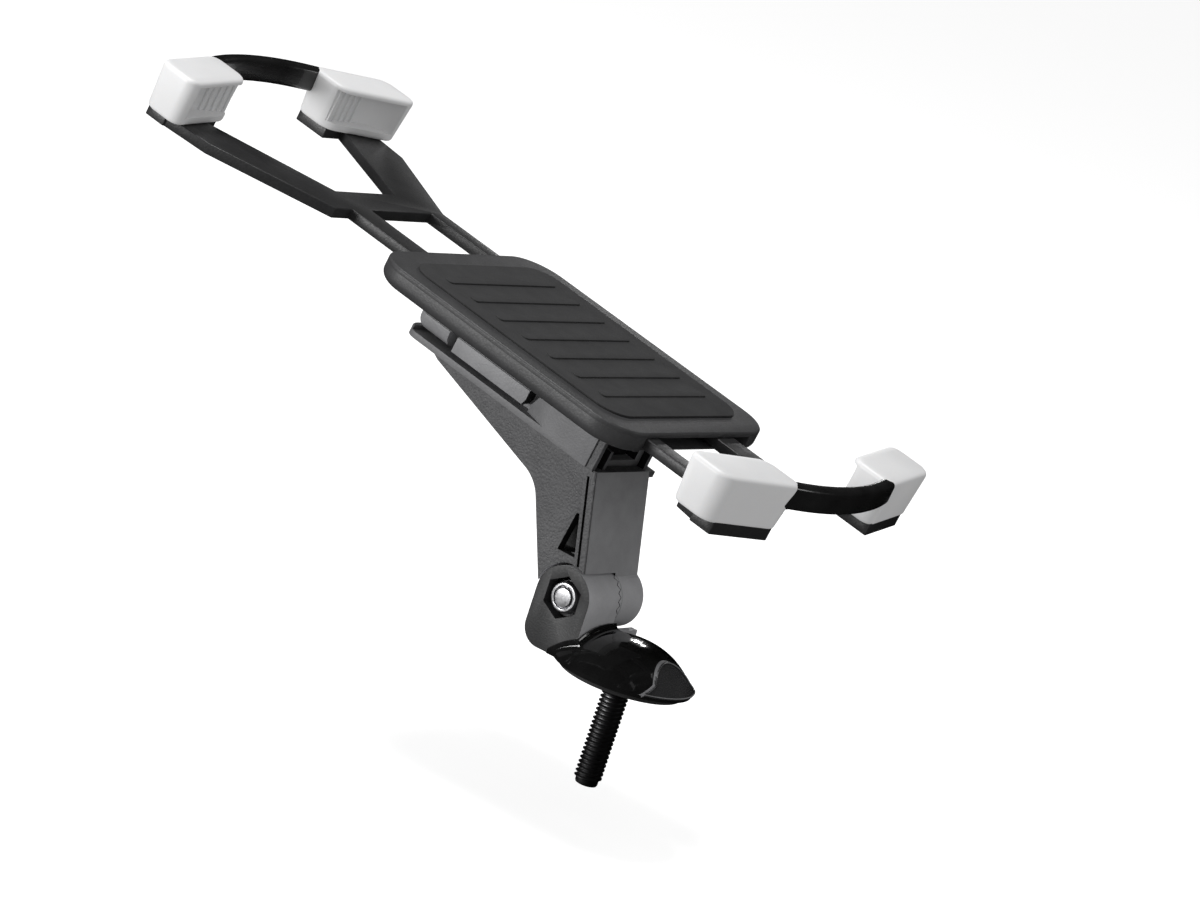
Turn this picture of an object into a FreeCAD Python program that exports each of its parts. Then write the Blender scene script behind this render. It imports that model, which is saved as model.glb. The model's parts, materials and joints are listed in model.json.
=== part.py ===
import FreeCAD, Part
import math
import os

from FreeCAD import Placement, Rotation, Vector

os.makedirs("parts", exist_ok=True)

# Stem-cap phone mount, millimetres.  Origin: centre of the face that sits on the
# stem, on the steerer axis.  +Z runs up the steerer, +Y forward, +X to the right.

# --- cap that replaces the steerer's top cap ---
CAP_R = 15.3
CAP_H = 8.0
CAP_WALL = 1.4
CAP_SKIRT = 1.0
CROWN_POWER = 2.75
SADDLE_REAR = 5.2
FENCE_RIGHT = 9.6
FENCE_REAR = 5.3
FENCE_FRONT = 6.9
FENCE_TOP = 7.4
BASE_R = CAP_R - CAP_WALL - 0.1
BASE_T = 2.4
SPIGOT_R = 13.5
SPIGOT_H = 1.2
HOLLOW_R = 9.6
HEAD_POCKET_R = 6.4
HEAD_POCKET_H = 4.2
BOLT_SEAT_Z = BASE_T - 0.6
M6_R = 3.0
M6_BORE_R = 3.3
M6_HEAD_R = 5.25
M6_HEAD_H = 3.0
M6_LENGTH = 28.0
M6_RELIEF_R = 2.6
M6_THREAD_TOP = -2.6
M6_WASHER_T = 1.0
COLLAR_REACH = 1.5
COLLAR_FILLET = 1.4
LUG_GAP = 0.12
BADGE_HALF = 10.4
BADGE_SHOULDER = (6.8, 3.0)
BADGE_LOW = 0.8
BADGE_APEX = 6.7

# --- tilt hinge: axis along X ---
HINGE_Y = 13.5
HINGE_Z = 12.2
KNUCKLE_R = 6.8
LUG_LEFT = -10.5
SPLIT_X = 1.5
KNUCKLE_RIGHT = 10.5
ROSETTE_TEETH = 24
ROSETTE_IN = 3.4
ROSETTE_OUT = KNUCKLE_R - 0.05
ROSETTE_HALF_DEPTH = 0.45
ROSETTE_GAP = 0.04
HINGE_GAP = 0.6
M5_R = 2.5
M5_BORE_R = 2.58
NUT_ACROSS_FLATS = 8.0
POCKET_ACROSS_FLATS = 8.3
POCKET_DEPTH = 5.8
NUT_HEX_T = 3.0
NUT_COLLAR_R = 3.35
NUT_COLLAR_T = 2.4
NUT_RING_R = 2.8
NUT_RING_T = 1.3
NUT_RING_X = LUG_LEFT + POCKET_DEPTH - NUT_HEX_T - NUT_COLLAR_T + 0.35
M5_HEAD_R = 4.75
M5_HEAD_H = 2.7
M5_WASHER_R = 5.4
M5_WASHER_T = 1.0

# --- arm ---
ARM_HALF = 10.5
WEB_INSET = 0.4
WEB_T = 2.4
PLATE_T = 3.0
PLATE_TAIL = 6.0
PLATE_LOW = (10.1, 18.6)
PLATE_TOP = (15.1, 39.7)
FRONT_LOW = (20.9, 13.7)
FRONT_KNEE = (29.1, 32.7)
KNEE_R = 9.0
SPINE_HALF = 0.9
FLOOR_REAR = (18.0, 20.7)
FLOOR_FRONT = (32.0, 19.3)
RIB_FRONT = ((27.8, 36.2), (29.1, 34.3))
WINDOW_TIP = (18.6, 21.2)
GROOVE_W = 0.6
GROOVE_DEPTH = 0.9

# --- dock: its own axes are X, u along the tray and w square to it ---
DOCK_TILT = 10.5
DOCK_Y = 18.1
DOCK_Z = 39.9
TRAY_L = 54.5
TRAY_T = 1.4
TRAY_HALF = 10.9
LIP_H = 2.25
HOUSING_L = 13.2
HOUSING_H = 7.8
HOUSING_NOSE = 19.3
SOCKET_HALF = 7.3
SOCKET_TOP = 6.1
RUN = 0.06

# --- cradle ---
FOOT_HALF = 10.4
FOOT_LOW = 2.5
FOOT_REAR = 19.8
FOOT_FRONT = 41.8
SLIT = 2.3
KEEL_FRONT = 33.2
LEVER_FRONT = 54.0
LEVER_TOP = 9.6
LEVER_PIN_U = 46.2
LEVER_PIN_W = 4.4
LEVER_PIN_R = 1.0
PIN_BLIND_END = FOOT_HALF - 1.0
SPRING_X = 4.2
SPRING_R = 1.45
SPRING_WIRE_R = 0.25
SPRING_PITCH = 0.46
SPRING_COILS = 6
SPRING_LEG = 1.3
SHELL_REAR = -15.0
SHELL_FRONT = 58.0
SHELL_HALF = 30.0
SHELL_LOW = 12.5
SHELL_TOP = 16.4
SHELL_FLOOR = 1.3
SHELL_CORNER_R = 9.0
COVER_T = 1.1
PAD_T = 0.8
PHONE_L = 158.1
PHONE_HALF = 38.9
PHONE_T = 7.4
PHONE_MID = 37.0
PHONE_CORNER_R = 10.0

# --- jaws ---
JAW_LOW = SHELL_LOW + SHELL_FLOOR + 0.05
JAW_T = 2.45
MODULE = 1.0
PINION_TEETH = 12
PINION_U = 22.0
PINION_BORE_R = 1.55
RACK_W = 9.0
GUIDE_IN = 15.4
GUIDE_OUT = 20.0
JAW_IN = 17.0
JAW_CLOSE = 18.0
GRIP_OUT = 41.2
GRIP_IN = 17.5
GRIP_TOP_T = 2.1
GRIP_SLANT = 4.6
GRIP_LIP = 6.2
GRIP_BACK = 5.2
POST_OUT = 37.5
POST_IN = 20.0
POST_T = 2.6
BAR_T = 3.2
BAR_H = 5.6
BAR_BOW = 2.4

X = Vector(1, 0, 0)
Y = Vector(0, 1, 0)
Z = Vector(0, 0, 1)
BIG = 200.0


def box(x0, x1, y0, y1, z0, z1):
    return Part.makeBox(x1 - x0, y1 - y0, z1 - z0, Vector(x0, y0, z0))


def rod(start, axis, radius, length):
    return Part.makeCylinder(radius, length, Vector(*start), axis)


def prism(points, axis, start, end):
    """Extrude an outline: (y, z) points along X, or (x, y) points along Z."""
    if axis == X:
        corners = [Vector(start, a, b) for a, b in points]
    else:
        corners = [Vector(a, b, start) for a, b in points]
    face = Part.Face(Part.makePolygon(corners + corners[:1]))
    return face.extrude(axis * (end - start))


def hexagon(across_flats, start, length, turn=0.0):
    """Hexagonal bar along X, centred on the tilt hinge."""
    corner_r = across_flats / math.sqrt(3)
    points = []
    for k in range(6):
        angle = math.radians(turn + 60 * k)
        points.append((HINGE_Y + corner_r * math.cos(angle), HINGE_Z + corner_r * math.sin(angle)))
    return prism(points, X, start, start + length)


def fuse(shapes):
    return shapes[0].multiFuse(shapes[1:]).removeSplitter()


def soften(shape, radius, wanted):
    """Fillet the edges that wanted() picks; on failure raise with the count."""
    edges = [edge for edge in shape.Edges if wanted(edge)]
    return shape.makeFillet(radius, edges) if edges else shape


def along(edge, axis):
    if not isinstance(edge.Curve, Part.Line):
        return False
    return abs(edge.tangentAt(edge.FirstParameter).dot(axis)) > 0.999


def middle(edge):
    return edge.valueAt((edge.FirstParameter + edge.LastParameter) / 2)


def place_on_dock(shape):
    """Move a shape from the dock's own axes (X, u, w) to the mount's frame."""
    return shape.transformed(
        Placement(Vector(0, DOCK_Y, DOCK_Z), Rotation(X, DOCK_TILT)).toMatrix(), copy=True)


def dock_point(u, w):
    tilt = math.radians(DOCK_TILT)
    y = DOCK_Y + u * math.cos(tilt) - w * math.sin(tilt)
    z = DOCK_Z + u * math.sin(tilt) + w * math.cos(tilt)
    return (y, z)


def mirror_x(shape):
    return shape.mirror(Vector(0, 0, 0), X)


# ---------------------------------------------------------------- cap


def dome_solid(grow):
    """Solid dome: a short upright skirt under a crown that flattens towards its middle."""
    radius = CAP_R + grow
    height = CAP_H + grow
    steps = 8
    points = []
    for k in range(steps + 1):
        across = 1 - k / steps
        rise = (height - CAP_SKIRT) * (1 - across ** CROWN_POWER)
        points.append(Vector(radius * across, 0, CAP_SKIRT + rise))
    crown = Part.BSplineCurve()
    crown.interpolate(Points=points)
    edges = [
        Part.makeLine(Vector(0, 0, 0), Vector(radius, 0, 0)),
        Part.makeLine(Vector(radius, 0, 0), Vector(radius, 0, CAP_SKIRT)),
        crown.toShape(),
        Part.makeLine(Vector(0, 0, height), Vector(0, 0, 0)),
    ]
    return Part.Face(Part.Wire(edges)).revolve(Vector(0, 0, 0), Z, 360)


def lug_outline_solid(grow):
    """Upright lug with a round top and a rounded lower front corner."""
    top = rod((LUG_LEFT - grow, HINGE_Y, HINGE_Z), X, KNUCKLE_R + grow, SPLIT_X - LUG_LEFT + 2 * grow)
    leg = box(LUG_LEFT - grow, SPLIT_X + grow, HINGE_Y - KNUCKLE_R - grow, HINGE_Y + KNUCKLE_R + grow,
              0, HINGE_Z)
    leg = soften(leg, 4.5, lambda e: along(e, X) and middle(e).z < 0.1 and middle(e).y > HINGE_Y)
    return fuse([top, leg])


def knuckle_fence(grow):
    """Low ledge behind the knuckle, standing through the cover."""
    return box(SPLIT_X - 0.1 - grow, FENCE_RIGHT + grow, FENCE_REAR - grow, FENCE_FRONT + grow,
               BASE_T, FENCE_TOP + grow)


def knuckle_room():
    """Space that the arm's knuckle turns in, above and beside the cap."""
    return rod((SPLIT_X - 0.1, HINGE_Y, HINGE_Z), X, KNUCKLE_R + 0.45, 12.0)


def badge_prism():
    """Arched bar along Y that cuts the badge out of the dome's rear flank."""
    start = -2 * CAP_R
    foot = Vector(BADGE_HALF, start, BADGE_LOW)
    shoulder = Vector(BADGE_SHOULDER[0], start, BADGE_SHOULDER[1])
    apex = Vector(0, start, BADGE_APEX)
    other_foot = Vector(-foot.x, start, foot.z)
    other_shoulder = Vector(-shoulder.x, start, shoulder.z)
    outline = Part.Wire([
        Part.makeLine(other_foot, foot),
        Part.makeLine(foot, shoulder),
        Part.Arc(shoulder, apex, other_shoulder).toShape(),
        Part.makeLine(other_shoulder, other_foot),
    ])
    return Part.Face(outline).extrude(Y * (2 * CAP_R - 1))


def rosette_under(lift):
    """Everything below the toothed surface; 48 flat flanks meet on the hinge axis."""
    reach = KNUCKLE_R + 2
    floor_x = SPLIT_X - 3
    count = 2 * ROSETTE_TEETH
    apex = Vector(SPLIT_X + lift, HINGE_Y, HINGE_Z)
    foot = Vector(floor_x, HINGE_Y, HINGE_Z)
    rim, base = [], []
    for k in range(count):
        angle = 2 * math.pi * (k + 0.5) / count
        depth = (1 if k % 2 else -1) * ROSETTE_HALF_DEPTH * reach / ROSETTE_OUT
        y = HINGE_Y + reach * math.cos(angle)
        z = HINGE_Z + reach * math.sin(angle)
        rim.append(Vector(SPLIT_X + lift + depth, y, z))
        base.append(Vector(floor_x, y, z))
    faces = []
    for k in range(count):
        n = (k + 1) % count
        for loop in ([apex, rim[k], rim[n]], [rim[k], base[k], base[n], rim[n]], [foot, base[n], base[k]]):
            faces.append(Part.Face(Part.makePolygon(loop + loop[:1])))
    return Part.Solid(Part.Shell(faces))


def rosette_ring(start, end, outer_r):
    outer = rod((start, HINGE_Y, HINGE_Z), X, outer_r, end - start)
    return outer.cut(rod((start - 1, HINGE_Y, HINGE_Z), X, ROSETTE_IN, end - start + 2))


def cap_base():
    inner = dome_solid(-CAP_WALL - 0.02)
    disc = inner.common(rod((0, 0, 0), Z, BASE_R, BASE_T))
    spigot = rod((0, 0, -SPIGOT_H), Z, SPIGOT_R, SPIGOT_H)
    saddle = inner.common(box(-CAP_R, CAP_R, SADDLE_REAR, CAP_R, 0, CAP_H))
    collar = rod((0, 0, 0), Z, HEAD_POCKET_R + 1.6, BASE_T + 1.2)
    body = fuse([disc, spigot, saddle, collar, knuckle_fence(0), lug_outline_solid(0)])
    body = body.cut(rod((0, 0, BOLT_SEAT_Z), Z, HEAD_POCKET_R, HEAD_POCKET_H))
    body = body.cut(rod((0, 0, -SPIGOT_H - 1), Z, M6_BORE_R, BIG))
    body = body.cut(rod((0, 0, -SPIGOT_H - 1), Z, HOLLOW_R, 1.6))
    body = body.cut(knuckle_room())
    face_recess = rosette_ring(SPLIT_X - ROSETTE_HALF_DEPTH - 0.3, SPLIT_X + 2, ROSETTE_OUT + 0.15)
    teeth = rosette_ring(SPLIT_X - 2, SPLIT_X + 2, ROSETTE_OUT).common(rosette_under(0))
    body = fuse([body.cut(face_recess), teeth])
    body = body.cut(rod((LUG_LEFT - 1, HINGE_Y, HINGE_Z), X, M5_BORE_R, 20))
    body = body.cut(hexagon(POCKET_ACROSS_FLATS, LUG_LEFT - 1, POCKET_DEPTH + 1, 30))
    return body


def on_collar_seam(edge):
    """Where the lug's outline leaves the crown of the dome."""
    point = middle(edge)
    across = math.hypot(point.x, point.y) / CAP_R
    crown_z = CAP_SKIRT + (CAP_H - CAP_SKIRT) * (1 - min(across, 1) ** CROWN_POWER)
    return across < 0.99 and abs(point.z - crown_z) < 0.05


def dome_cover():
    """Glossy cover with a soft-edged collar that climbs the foot of the lug."""
    collar = fuse([dome_solid(0), lug_outline_solid(0.5)])
    collar = soften(collar, COLLAR_FILLET, on_collar_seam).common(dome_solid(COLLAR_REACH))
    shell = collar.cut(dome_solid(-CAP_WALL))
    shell = shell.cut(lug_outline_solid(LUG_GAP)).cut(knuckle_fence(LUG_GAP))
    shell = shell.cut(knuckle_room())
    shell = shell.cut(badge_band())
    return max(shell.Solids, key=lambda solid: solid.Volume)


def badge_band():
    return dome_solid(0.35).cut(dome_solid(-0.6)).common(badge_prism())


def badge_plate():
    return badge_band()


def steerer_bolt():
    seat = BOLT_SEAT_Z + M6_WASHER_T
    relief = rod((0, 0, M6_THREAD_TOP - 0.1), Z, M6_RELIEF_R, seat - M6_THREAD_TOP + 0.1)
    shank = rod((0, 0, seat - M6_LENGTH), Z, M6_R, M6_THREAD_TOP - seat + M6_LENGTH)
    shank = shank.makeChamfer(0.7, [e for e in shank.Edges if middle(e).z < seat - M6_LENGTH + 0.1
                                    and not along(e, Z)])
    head = rod((0, 0, seat), Z, M6_HEAD_R, M6_HEAD_H)
    head = head.makeFillet(1.5, [e for e in head.Edges if middle(e).z > seat + M6_HEAD_H - 0.1
                                 and not along(e, Z)])
    key = []
    for k in range(6):
        angle = math.radians(60 * k)
        key.append((2.31 * math.cos(angle), 2.31 * math.sin(angle)))
    return fuse([shank, relief, head]).cut(prism(key, Z, seat + 0.9, seat + 9))


def steerer_washer():
    ring = rod((0, 0, BOLT_SEAT_Z), Z, HEAD_POCKET_R - 0.3, M6_WASHER_T)
    return ring.cut(rod((0, 0, BOLT_SEAT_Z - 1), Z, M6_R + 0.1, 4))


# ---------------------------------------------------------------- hinge hardware


def lock_nut():
    start = LUG_LEFT + POCKET_DEPTH - NUT_HEX_T
    body = hexagon(NUT_ACROSS_FLATS, start, NUT_HEX_T, 30)
    cone = Part.makeCone(NUT_ACROSS_FLATS / 2 + 0.12, NUT_ACROSS_FLATS / 2 + 4.1, 4.0,
                         Vector(start, HINGE_Y, HINGE_Z), X)
    collar = rod((start - NUT_COLLAR_T, HINGE_Y, HINGE_Z), X, NUT_COLLAR_R, NUT_COLLAR_T + 0.2)
    collar = soften(collar, 0.5, lambda e: not along(e, X) and middle(e).x < start - NUT_COLLAR_T + 0.1)
    body = fuse([body.common(cone), collar])
    body = body.cut(rod((start - 3, HINGE_Y, HINGE_Z), X, M5_R, 12))
    return body.cut(rod((NUT_RING_X, HINGE_Y, HINGE_Z), X, NUT_RING_R, NUT_RING_T))


def nut_locking_ring():
    ring = rod((NUT_RING_X, HINGE_Y, HINGE_Z), X, NUT_RING_R, NUT_RING_T)
    return ring.cut(rod((NUT_RING_X - 1, HINGE_Y, HINGE_Z), X, M5_R, NUT_RING_T + 2))


def pivot_bolt():
    seat = KNUCKLE_RIGHT + M5_WASHER_T
    tip = LUG_LEFT + 0.25
    shank = rod((tip, HINGE_Y, HINGE_Z), X, M5_R, seat - tip)
    shank = shank.makeChamfer(0.55, [e for e in shank.Edges if middle(e).x < tip + 0.1 and not along(e, X)])
    head = rod((seat, HINGE_Y, HINGE_Z), X, M5_HEAD_R, M5_HEAD_H)
    head = head.makeFillet(1.7, [e for e in head.Edges if middle(e).x > seat + M5_HEAD_H - 0.1
                                 and not along(e, X)])
    return fuse([shank, head]).cut(hexagon(3.0, seat + 0.9, 9))


def pivot_washer():
    ring = rod((KNUCKLE_RIGHT, HINGE_Y, HINGE_Z), X, M5_WASHER_R, M5_WASHER_T)
    return ring.cut(rod((KNUCKLE_RIGHT - 1, HINGE_Y, HINGE_Z), X, M5_R + 0.1, 4))


# ---------------------------------------------------------------- arm


def plate_point(distance_up, inward):
    """Point on the arm's rear plate: distance up its slope and inward from its face."""
    run_y = PLATE_TOP[0] - PLATE_LOW[0]
    run_z = PLATE_TOP[1] - PLATE_LOW[1]
    length = math.hypot(run_y, run_z)
    along_y, along_z = run_y / length, run_z / length
    return (PLATE_LOW[0] + along_y * distance_up + along_z * inward,
            PLATE_LOW[1] + along_z * distance_up - along_y * inward)


PLATE_L = math.hypot(PLATE_TOP[0] - PLATE_LOW[0], PLATE_TOP[1] - PLATE_LOW[1])


def plate_strip(low, high, outer, inner):
    """Four corners of a strip beside the rear plate's face, from low to high up its slope."""
    return [plate_point(low, outer), plate_point(high, outer), plate_point(high, inner), plate_point(low, inner)]


def on_rear_face(edge):
    """True for an edge that lies in the rear plate's outer face, along its slope."""
    point = middle(edge)
    on_face = plate_point((point.z - PLATE_LOW[1]) * PLATE_L / (PLATE_TOP[1] - PLATE_LOW[1]), 0)
    return abs(on_face[0] - point.y) < 0.05 and not along(edge, X)


def arm_profile():
    """Side outline of the arm, from the hinge to the tray's underside."""
    sweep_end = dock_point(46.0, 0)
    return [plate_point(-PLATE_TAIL, 0), plate_point(PLATE_L, 0), dock_point(0, 0), sweep_end,
            dock_point(44.0, -0.9), FRONT_KNEE, FRONT_LOW, (HINGE_Y + KNUCKLE_R, HINGE_Z)]


def arm_bracket():
    outline = arm_profile()
    webs = prism(outline, X, -ARM_HALF + WEB_INSET, ARM_HALF - WEB_INSET)
    webs = soften(webs, KNEE_R, lambda e: along(e, X) and abs(middle(e).z - FRONT_KNEE[1]) < 0.1)
    hollow = [plate_point(4.2, PLATE_T), plate_point(PLATE_L - 1.2, PLATE_T), dock_point(2.4, -2.0),
              dock_point(TRAY_L, -2.0), (BIG, FLOOR_FRONT[1]), FLOOR_FRONT, FLOOR_REAR]
    inner = ARM_HALF - WEB_INSET - WEB_T
    webs = webs.cut(prism(hollow, X, -inner, -SPINE_HALF)).cut(prism(hollow, X, SPINE_HALF, inner))
    rib_outline = [plate_point(10.5, PLATE_T - 0.5), plate_point(12.3, PLATE_T - 0.5), *RIB_FRONT]
    rib = prism(rib_outline, X, -inner - 0.2, inner + 0.2).common(prism(outline, X, -BIG, BIG))
    plate = prism(plate_strip(-PLATE_TAIL, PLATE_L, 0, PLATE_T), X, -ARM_HALF, ARM_HALF)
    plate = soften(plate, 0.4, lambda e: on_rear_face(e) and abs(middle(e).x) > ARM_HALF - 0.1)
    groove = prism(plate_strip(-PLATE_TAIL - 2, PLATE_L - 1, 1.5, 1.5 + GROOVE_W), X,
                   -ARM_HALF - 1, -ARM_HALF + GROOVE_DEPTH)
    knuckle = rod((SPLIT_X - 2, HINGE_Y, HINGE_Z), X, KNUCKLE_R, KNUCKLE_RIGHT - SPLIT_X + 2)
    bosses = [boss.common(prism(outline, X, -BIG, BIG)) for boss in dock_screw_bosses()]
    body = fuse([webs, plate, rib, knuckle] + bosses + rear_rim())
    body = body.cut(groove).cut(mirror_x(groove))
    for u in DOCK_SCREWS_U:
        body = body.cut(place_on_dock(rod((0, u, -5.0), Z, 1.5, 9)))
    body = body.cut(window_pair())
    near_room = rod((-BIG, HINGE_Y, HINGE_Z), X, KNUCKLE_R + HINGE_GAP, BIG + SPLIT_X + 0.06)
    low_room = box(-BIG, SPLIT_X + 0.06, -BIG, BIG, -BIG, HINGE_Z)
    body = body.cut(near_room).cut(low_room)
    far_low = box(SPLIT_X - 3, BIG, -BIG, BIG, -BIG, HINGE_Z).cut(
        rod((SPLIT_X - 4, HINGE_Y, HINGE_Z), X, KNUCKLE_R, BIG))
    body = body.cut(far_low)
    ring_space = rosette_ring(SPLIT_X - 1, SPLIT_X + ROSETTE_HALF_DEPTH + 0.3, ROSETTE_OUT + 0.15)
    teeth = rosette_ring(SPLIT_X - 1, SPLIT_X + 2, ROSETTE_OUT).cut(rosette_under(ROSETTE_GAP))
    body = fuse([body.cut(ring_space), teeth])
    body = body.cut(rod((-BIG, HINGE_Y, HINGE_Z), X, M5_BORE_R, 2 * BIG))
    return max(body.Solids, key=lambda solid: solid.Volume)


def window_pair():
    """Triangular lightening window through both webs, beside the rear plate."""
    corners = [plate_point(3.2, 2.9), plate_point(12.6, 2.9), plate_point(12.6, 3.9), WINDOW_TIP]
    near = prism(corners, X, -BIG, -ARM_HALF + WEB_INSET + WEB_T + 0.1)
    return fuse([near, mirror_x(near)])


def rear_rim():
    """Cheeks, inner rib and thumb tab round the open rear end of the dock channel."""
    rim_rear, rim_front = -2.6, -0.15
    pieces = [
        box(-ARM_HALF, ARM_HALF, rim_rear, 0.6, -2.4, 0.0),
        box(-ARM_HALF, -ARM_HALF + 1.2, rim_rear + 0.8, rim_front, -1, HOUSING_H + 0.3),
        box(ARM_HALF - 1.2, ARM_HALF, rim_rear + 0.8, rim_front, -1, HOUSING_H + 0.3),
        box(-6.6, -5.6, rim_rear + 0.8, rim_front, -1, 4.6),
        box(ARM_HALF - 1, ARM_HALF + 2.8, rim_rear, 0.6, -1.4, 0.0),
    ]
    return [place_on_dock(piece) for piece in pieces]


# ---------------------------------------------------------------- dock


def dock_tray():
    floor = box(-TRAY_HALF, TRAY_HALF, 0, TRAY_L, 0, TRAY_T)
    floor = soften(floor, 3.5, lambda e: along(e, Z) and middle(e).y > TRAY_L - 1)
    lip = floor.common(box(-BIG, BIG, TRAY_L - 1.6, BIG, -1, 9))
    lip = fuse([lip, lip.translated(Vector(0, 0, LIP_H - TRAY_T))])
    lip = soften(lip, 0.5, lambda e: middle(e).z > LIP_H - 0.05 and middle(e).y > TRAY_L - 1.2)
    housing = box(-TRAY_HALF, TRAY_HALF, 0, HOUSING_L, 0, HOUSING_H)
    nose_corners = [(-TRAY_HALF, HOUSING_L - 0.2), (-TRAY_HALF, HOUSING_L), (-SOCKET_HALF - 1.6, HOUSING_NOSE),
                    (SOCKET_HALF + 1.6, HOUSING_NOSE), (TRAY_HALF, HOUSING_L), (TRAY_HALF, HOUSING_L - 0.2)]
    nose = prism(nose_corners, Z, 0, HOUSING_H)
    slope = prism([(HOUSING_NOSE + 1, 1.2), (HOUSING_NOSE - 3.0, HOUSING_H + 1), (HOUSING_NOSE + 9, HOUSING_H + 1),
                   (HOUSING_NOSE + 9, 1.2)], X, -BIG, BIG)
    block = fuse([housing, nose.cut(slope)])
    block = soften(block, 0.8, lambda e: along(e, Y) and middle(e).z > HOUSING_H - 0.1)
    socket = box(-SOCKET_HALF - RUN, SOCKET_HALF + RUN, -1, 30, TRAY_T, SOCKET_TOP + RUN)
    slot = box(-3.2, 3.2, -1, 30, SOCKET_TOP - 1, 30)
    tray = fuse([floor, lip, block]).cut(socket).cut(slot)
    for u in DOCK_SCREWS_U:
        tray = tray.cut(rod((0, u, -1), Z, 1.55, 9))
        tray = tray.cut(Part.makeCone(1.5, 2.9, 1.4, Vector(0, u, 0.02), Z))
    return tray


DOCK_SCREWS_U = (8.0, 36.0)


def countersunk_screw(u, x, head_w, length, radius, head_r):
    """Countersunk screw with its head's face at head_w, pointing down w."""
    head_t = head_r - radius
    head = Part.makeCone(radius, head_r, head_t, Vector(x, u, head_w - head_t), Z)
    shank = rod((x, u, head_w - length), Z, radius, length - head_t + 0.01)
    shank = shank.makeChamfer(0.4, [e for e in shank.Edges if middle(e).z < head_w - length + 0.1
                                    and not along(e, Z)])
    slot_a = box(x - head_r * 0.62, x + head_r * 0.62, u - 0.32, u + 0.32, head_w - 0.75, head_w + 1)
    slot_b = box(x - 0.32, x + 0.32, u - head_r * 0.62, u + head_r * 0.62, head_w - 0.75, head_w + 1)
    return fuse([head, shank]).cut(slot_a).cut(slot_b)


def dock_screws():
    screws = [countersunk_screw(u, 0, TRAY_T - 0.05, 5.6, 1.5, 2.75) for u in DOCK_SCREWS_U]
    return Part.makeCompound(screws)


def dock_screw_bosses():
    """Screw bosses under the tray, part of the arm."""
    return [place_on_dock(rod((0, u, -6.5), Z, 3.2, 6.5)) for u in DOCK_SCREWS_U]


# ---------------------------------------------------------------- cradle foot and release lever


def cradle_foot():
    block = box(-FOOT_HALF, FOOT_HALF, FOOT_REAR + 0.3, FOOT_FRONT, FOOT_LOW, SHELL_LOW)
    rear_slope = prism([(FOOT_REAR - 1, FOOT_LOW - 3.6), (FOOT_REAR + 0.9, FOOT_LOW - 0.1), (FOOT_REAR - 2.0, 9.5),
                        (FOOT_REAR - 5, 9.5)], X, -BIG, BIG)
    block = fuse([block, box(-FOOT_HALF, FOOT_HALF, 13.0, FOOT_REAR + 0.4, 9.5, SHELL_LOW)]).cut(rear_slope)
    front_web = box(-4.0, 4.0, FOOT_FRONT - 0.1, 49.0, 10.6, SHELL_LOW)
    fork = box(-3.0, 3.0, FOOT_FRONT - 0.1, LEVER_PIN_U + 2.0, LEVER_PIN_W - 1.9, SHELL_LOW)
    tongue = box(-SOCKET_HALF, SOCKET_HALF, 2.0, FOOT_REAR + 2, TRAY_T + RUN, SOCKET_TOP)
    tongue = soften(tongue, 1.5, lambda e: along(e, Z) and middle(e).y < 2.1)
    keel = box(-5.5, 5.5, FOOT_REAR, KEEL_FRONT, TRAY_T + RUN, FOOT_LOW + 0.1)
    stem = box(-2.9, 2.9, 4.0, FOOT_REAR + 2, SOCKET_TOP - 0.1, SHELL_LOW)
    ledge = box(-FOOT_HALF - 1, -FOOT_HALF + 0.35, FOOT_REAR - 9, FOOT_FRONT + 1, 6.0, 6.35)
    foot = fuse([block, front_web, fork, tongue, keel, stem])
    foot = foot.cut(ledge).cut(mirror_x(ledge))
    foot = foot.cut(rod((-FOOT_HALF, LEVER_PIN_U, LEVER_PIN_W), X, LEVER_PIN_R, 2 * FOOT_HALF))
    for x, u in FOOT_SCREWS:
        foot = foot.cut(rod((x, u, SHELL_LOW - 6.6), Z, 1.5, 9))
    return foot


FOOT_SCREWS = ((-7.2, 26.0), (7.2, 26.0), (-7.2, 37.5), (7.2, 37.5))


def foot_screws():
    screws = []
    for x, u in FOOT_SCREWS:
        screws.append(countersunk_screw(u, x, SHELL_LOW + SHELL_FLOOR - 0.06, 6.4, 1.25, 2.3))
    return Part.makeCompound(screws)


def release_lever():
    rear = FOOT_FRONT + SLIT
    block = box(-FOOT_HALF, FOOT_HALF, rear, LEVER_FRONT, LIP_H + 0.1, LEVER_TOP)
    block = soften(block, 2.4, lambda e: along(e, X) and middle(e).y > LEVER_FRONT - 0.1 and middle(e).z < 4)
    block = soften(block, 3.2, lambda e: along(e, Z) and middle(e).y > LEVER_FRONT - 0.1)
    ledge = box(-FOOT_HALF - 1, -FOOT_HALF + 0.35, rear - 1, LEVER_FRONT + 1, 6.0, 6.35)
    room = box(-3.25, 3.25, rear - 1, LEVER_PIN_U + 3.8, -1, BIG)
    heel = box(-BIG, BIG, rear - 1, rear + 0.9, 7.4, BIG)
    lever = block.cut(ledge).cut(mirror_x(ledge)).cut(room).cut(heel)
    lever = lever.cut(rod((-PIN_BLIND_END, LEVER_PIN_U, LEVER_PIN_W), X, LEVER_PIN_R + 0.06, BIG))
    spring_room = rod((3.2, LEVER_PIN_U, LEVER_PIN_W), X, 2.1, 4.6)
    return lever.cut(spring_room)


def lever_pin():
    """Pin pressed in from the right; its left end stops short of the lever's side."""
    pin = rod((-PIN_BLIND_END + 0.2, LEVER_PIN_U, LEVER_PIN_W), X, LEVER_PIN_R,
              PIN_BLIND_END + FOOT_HALF - 0.9)
    return pin.makeChamfer(0.25, [e for e in pin.Edges if not along(e, X)])


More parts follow.
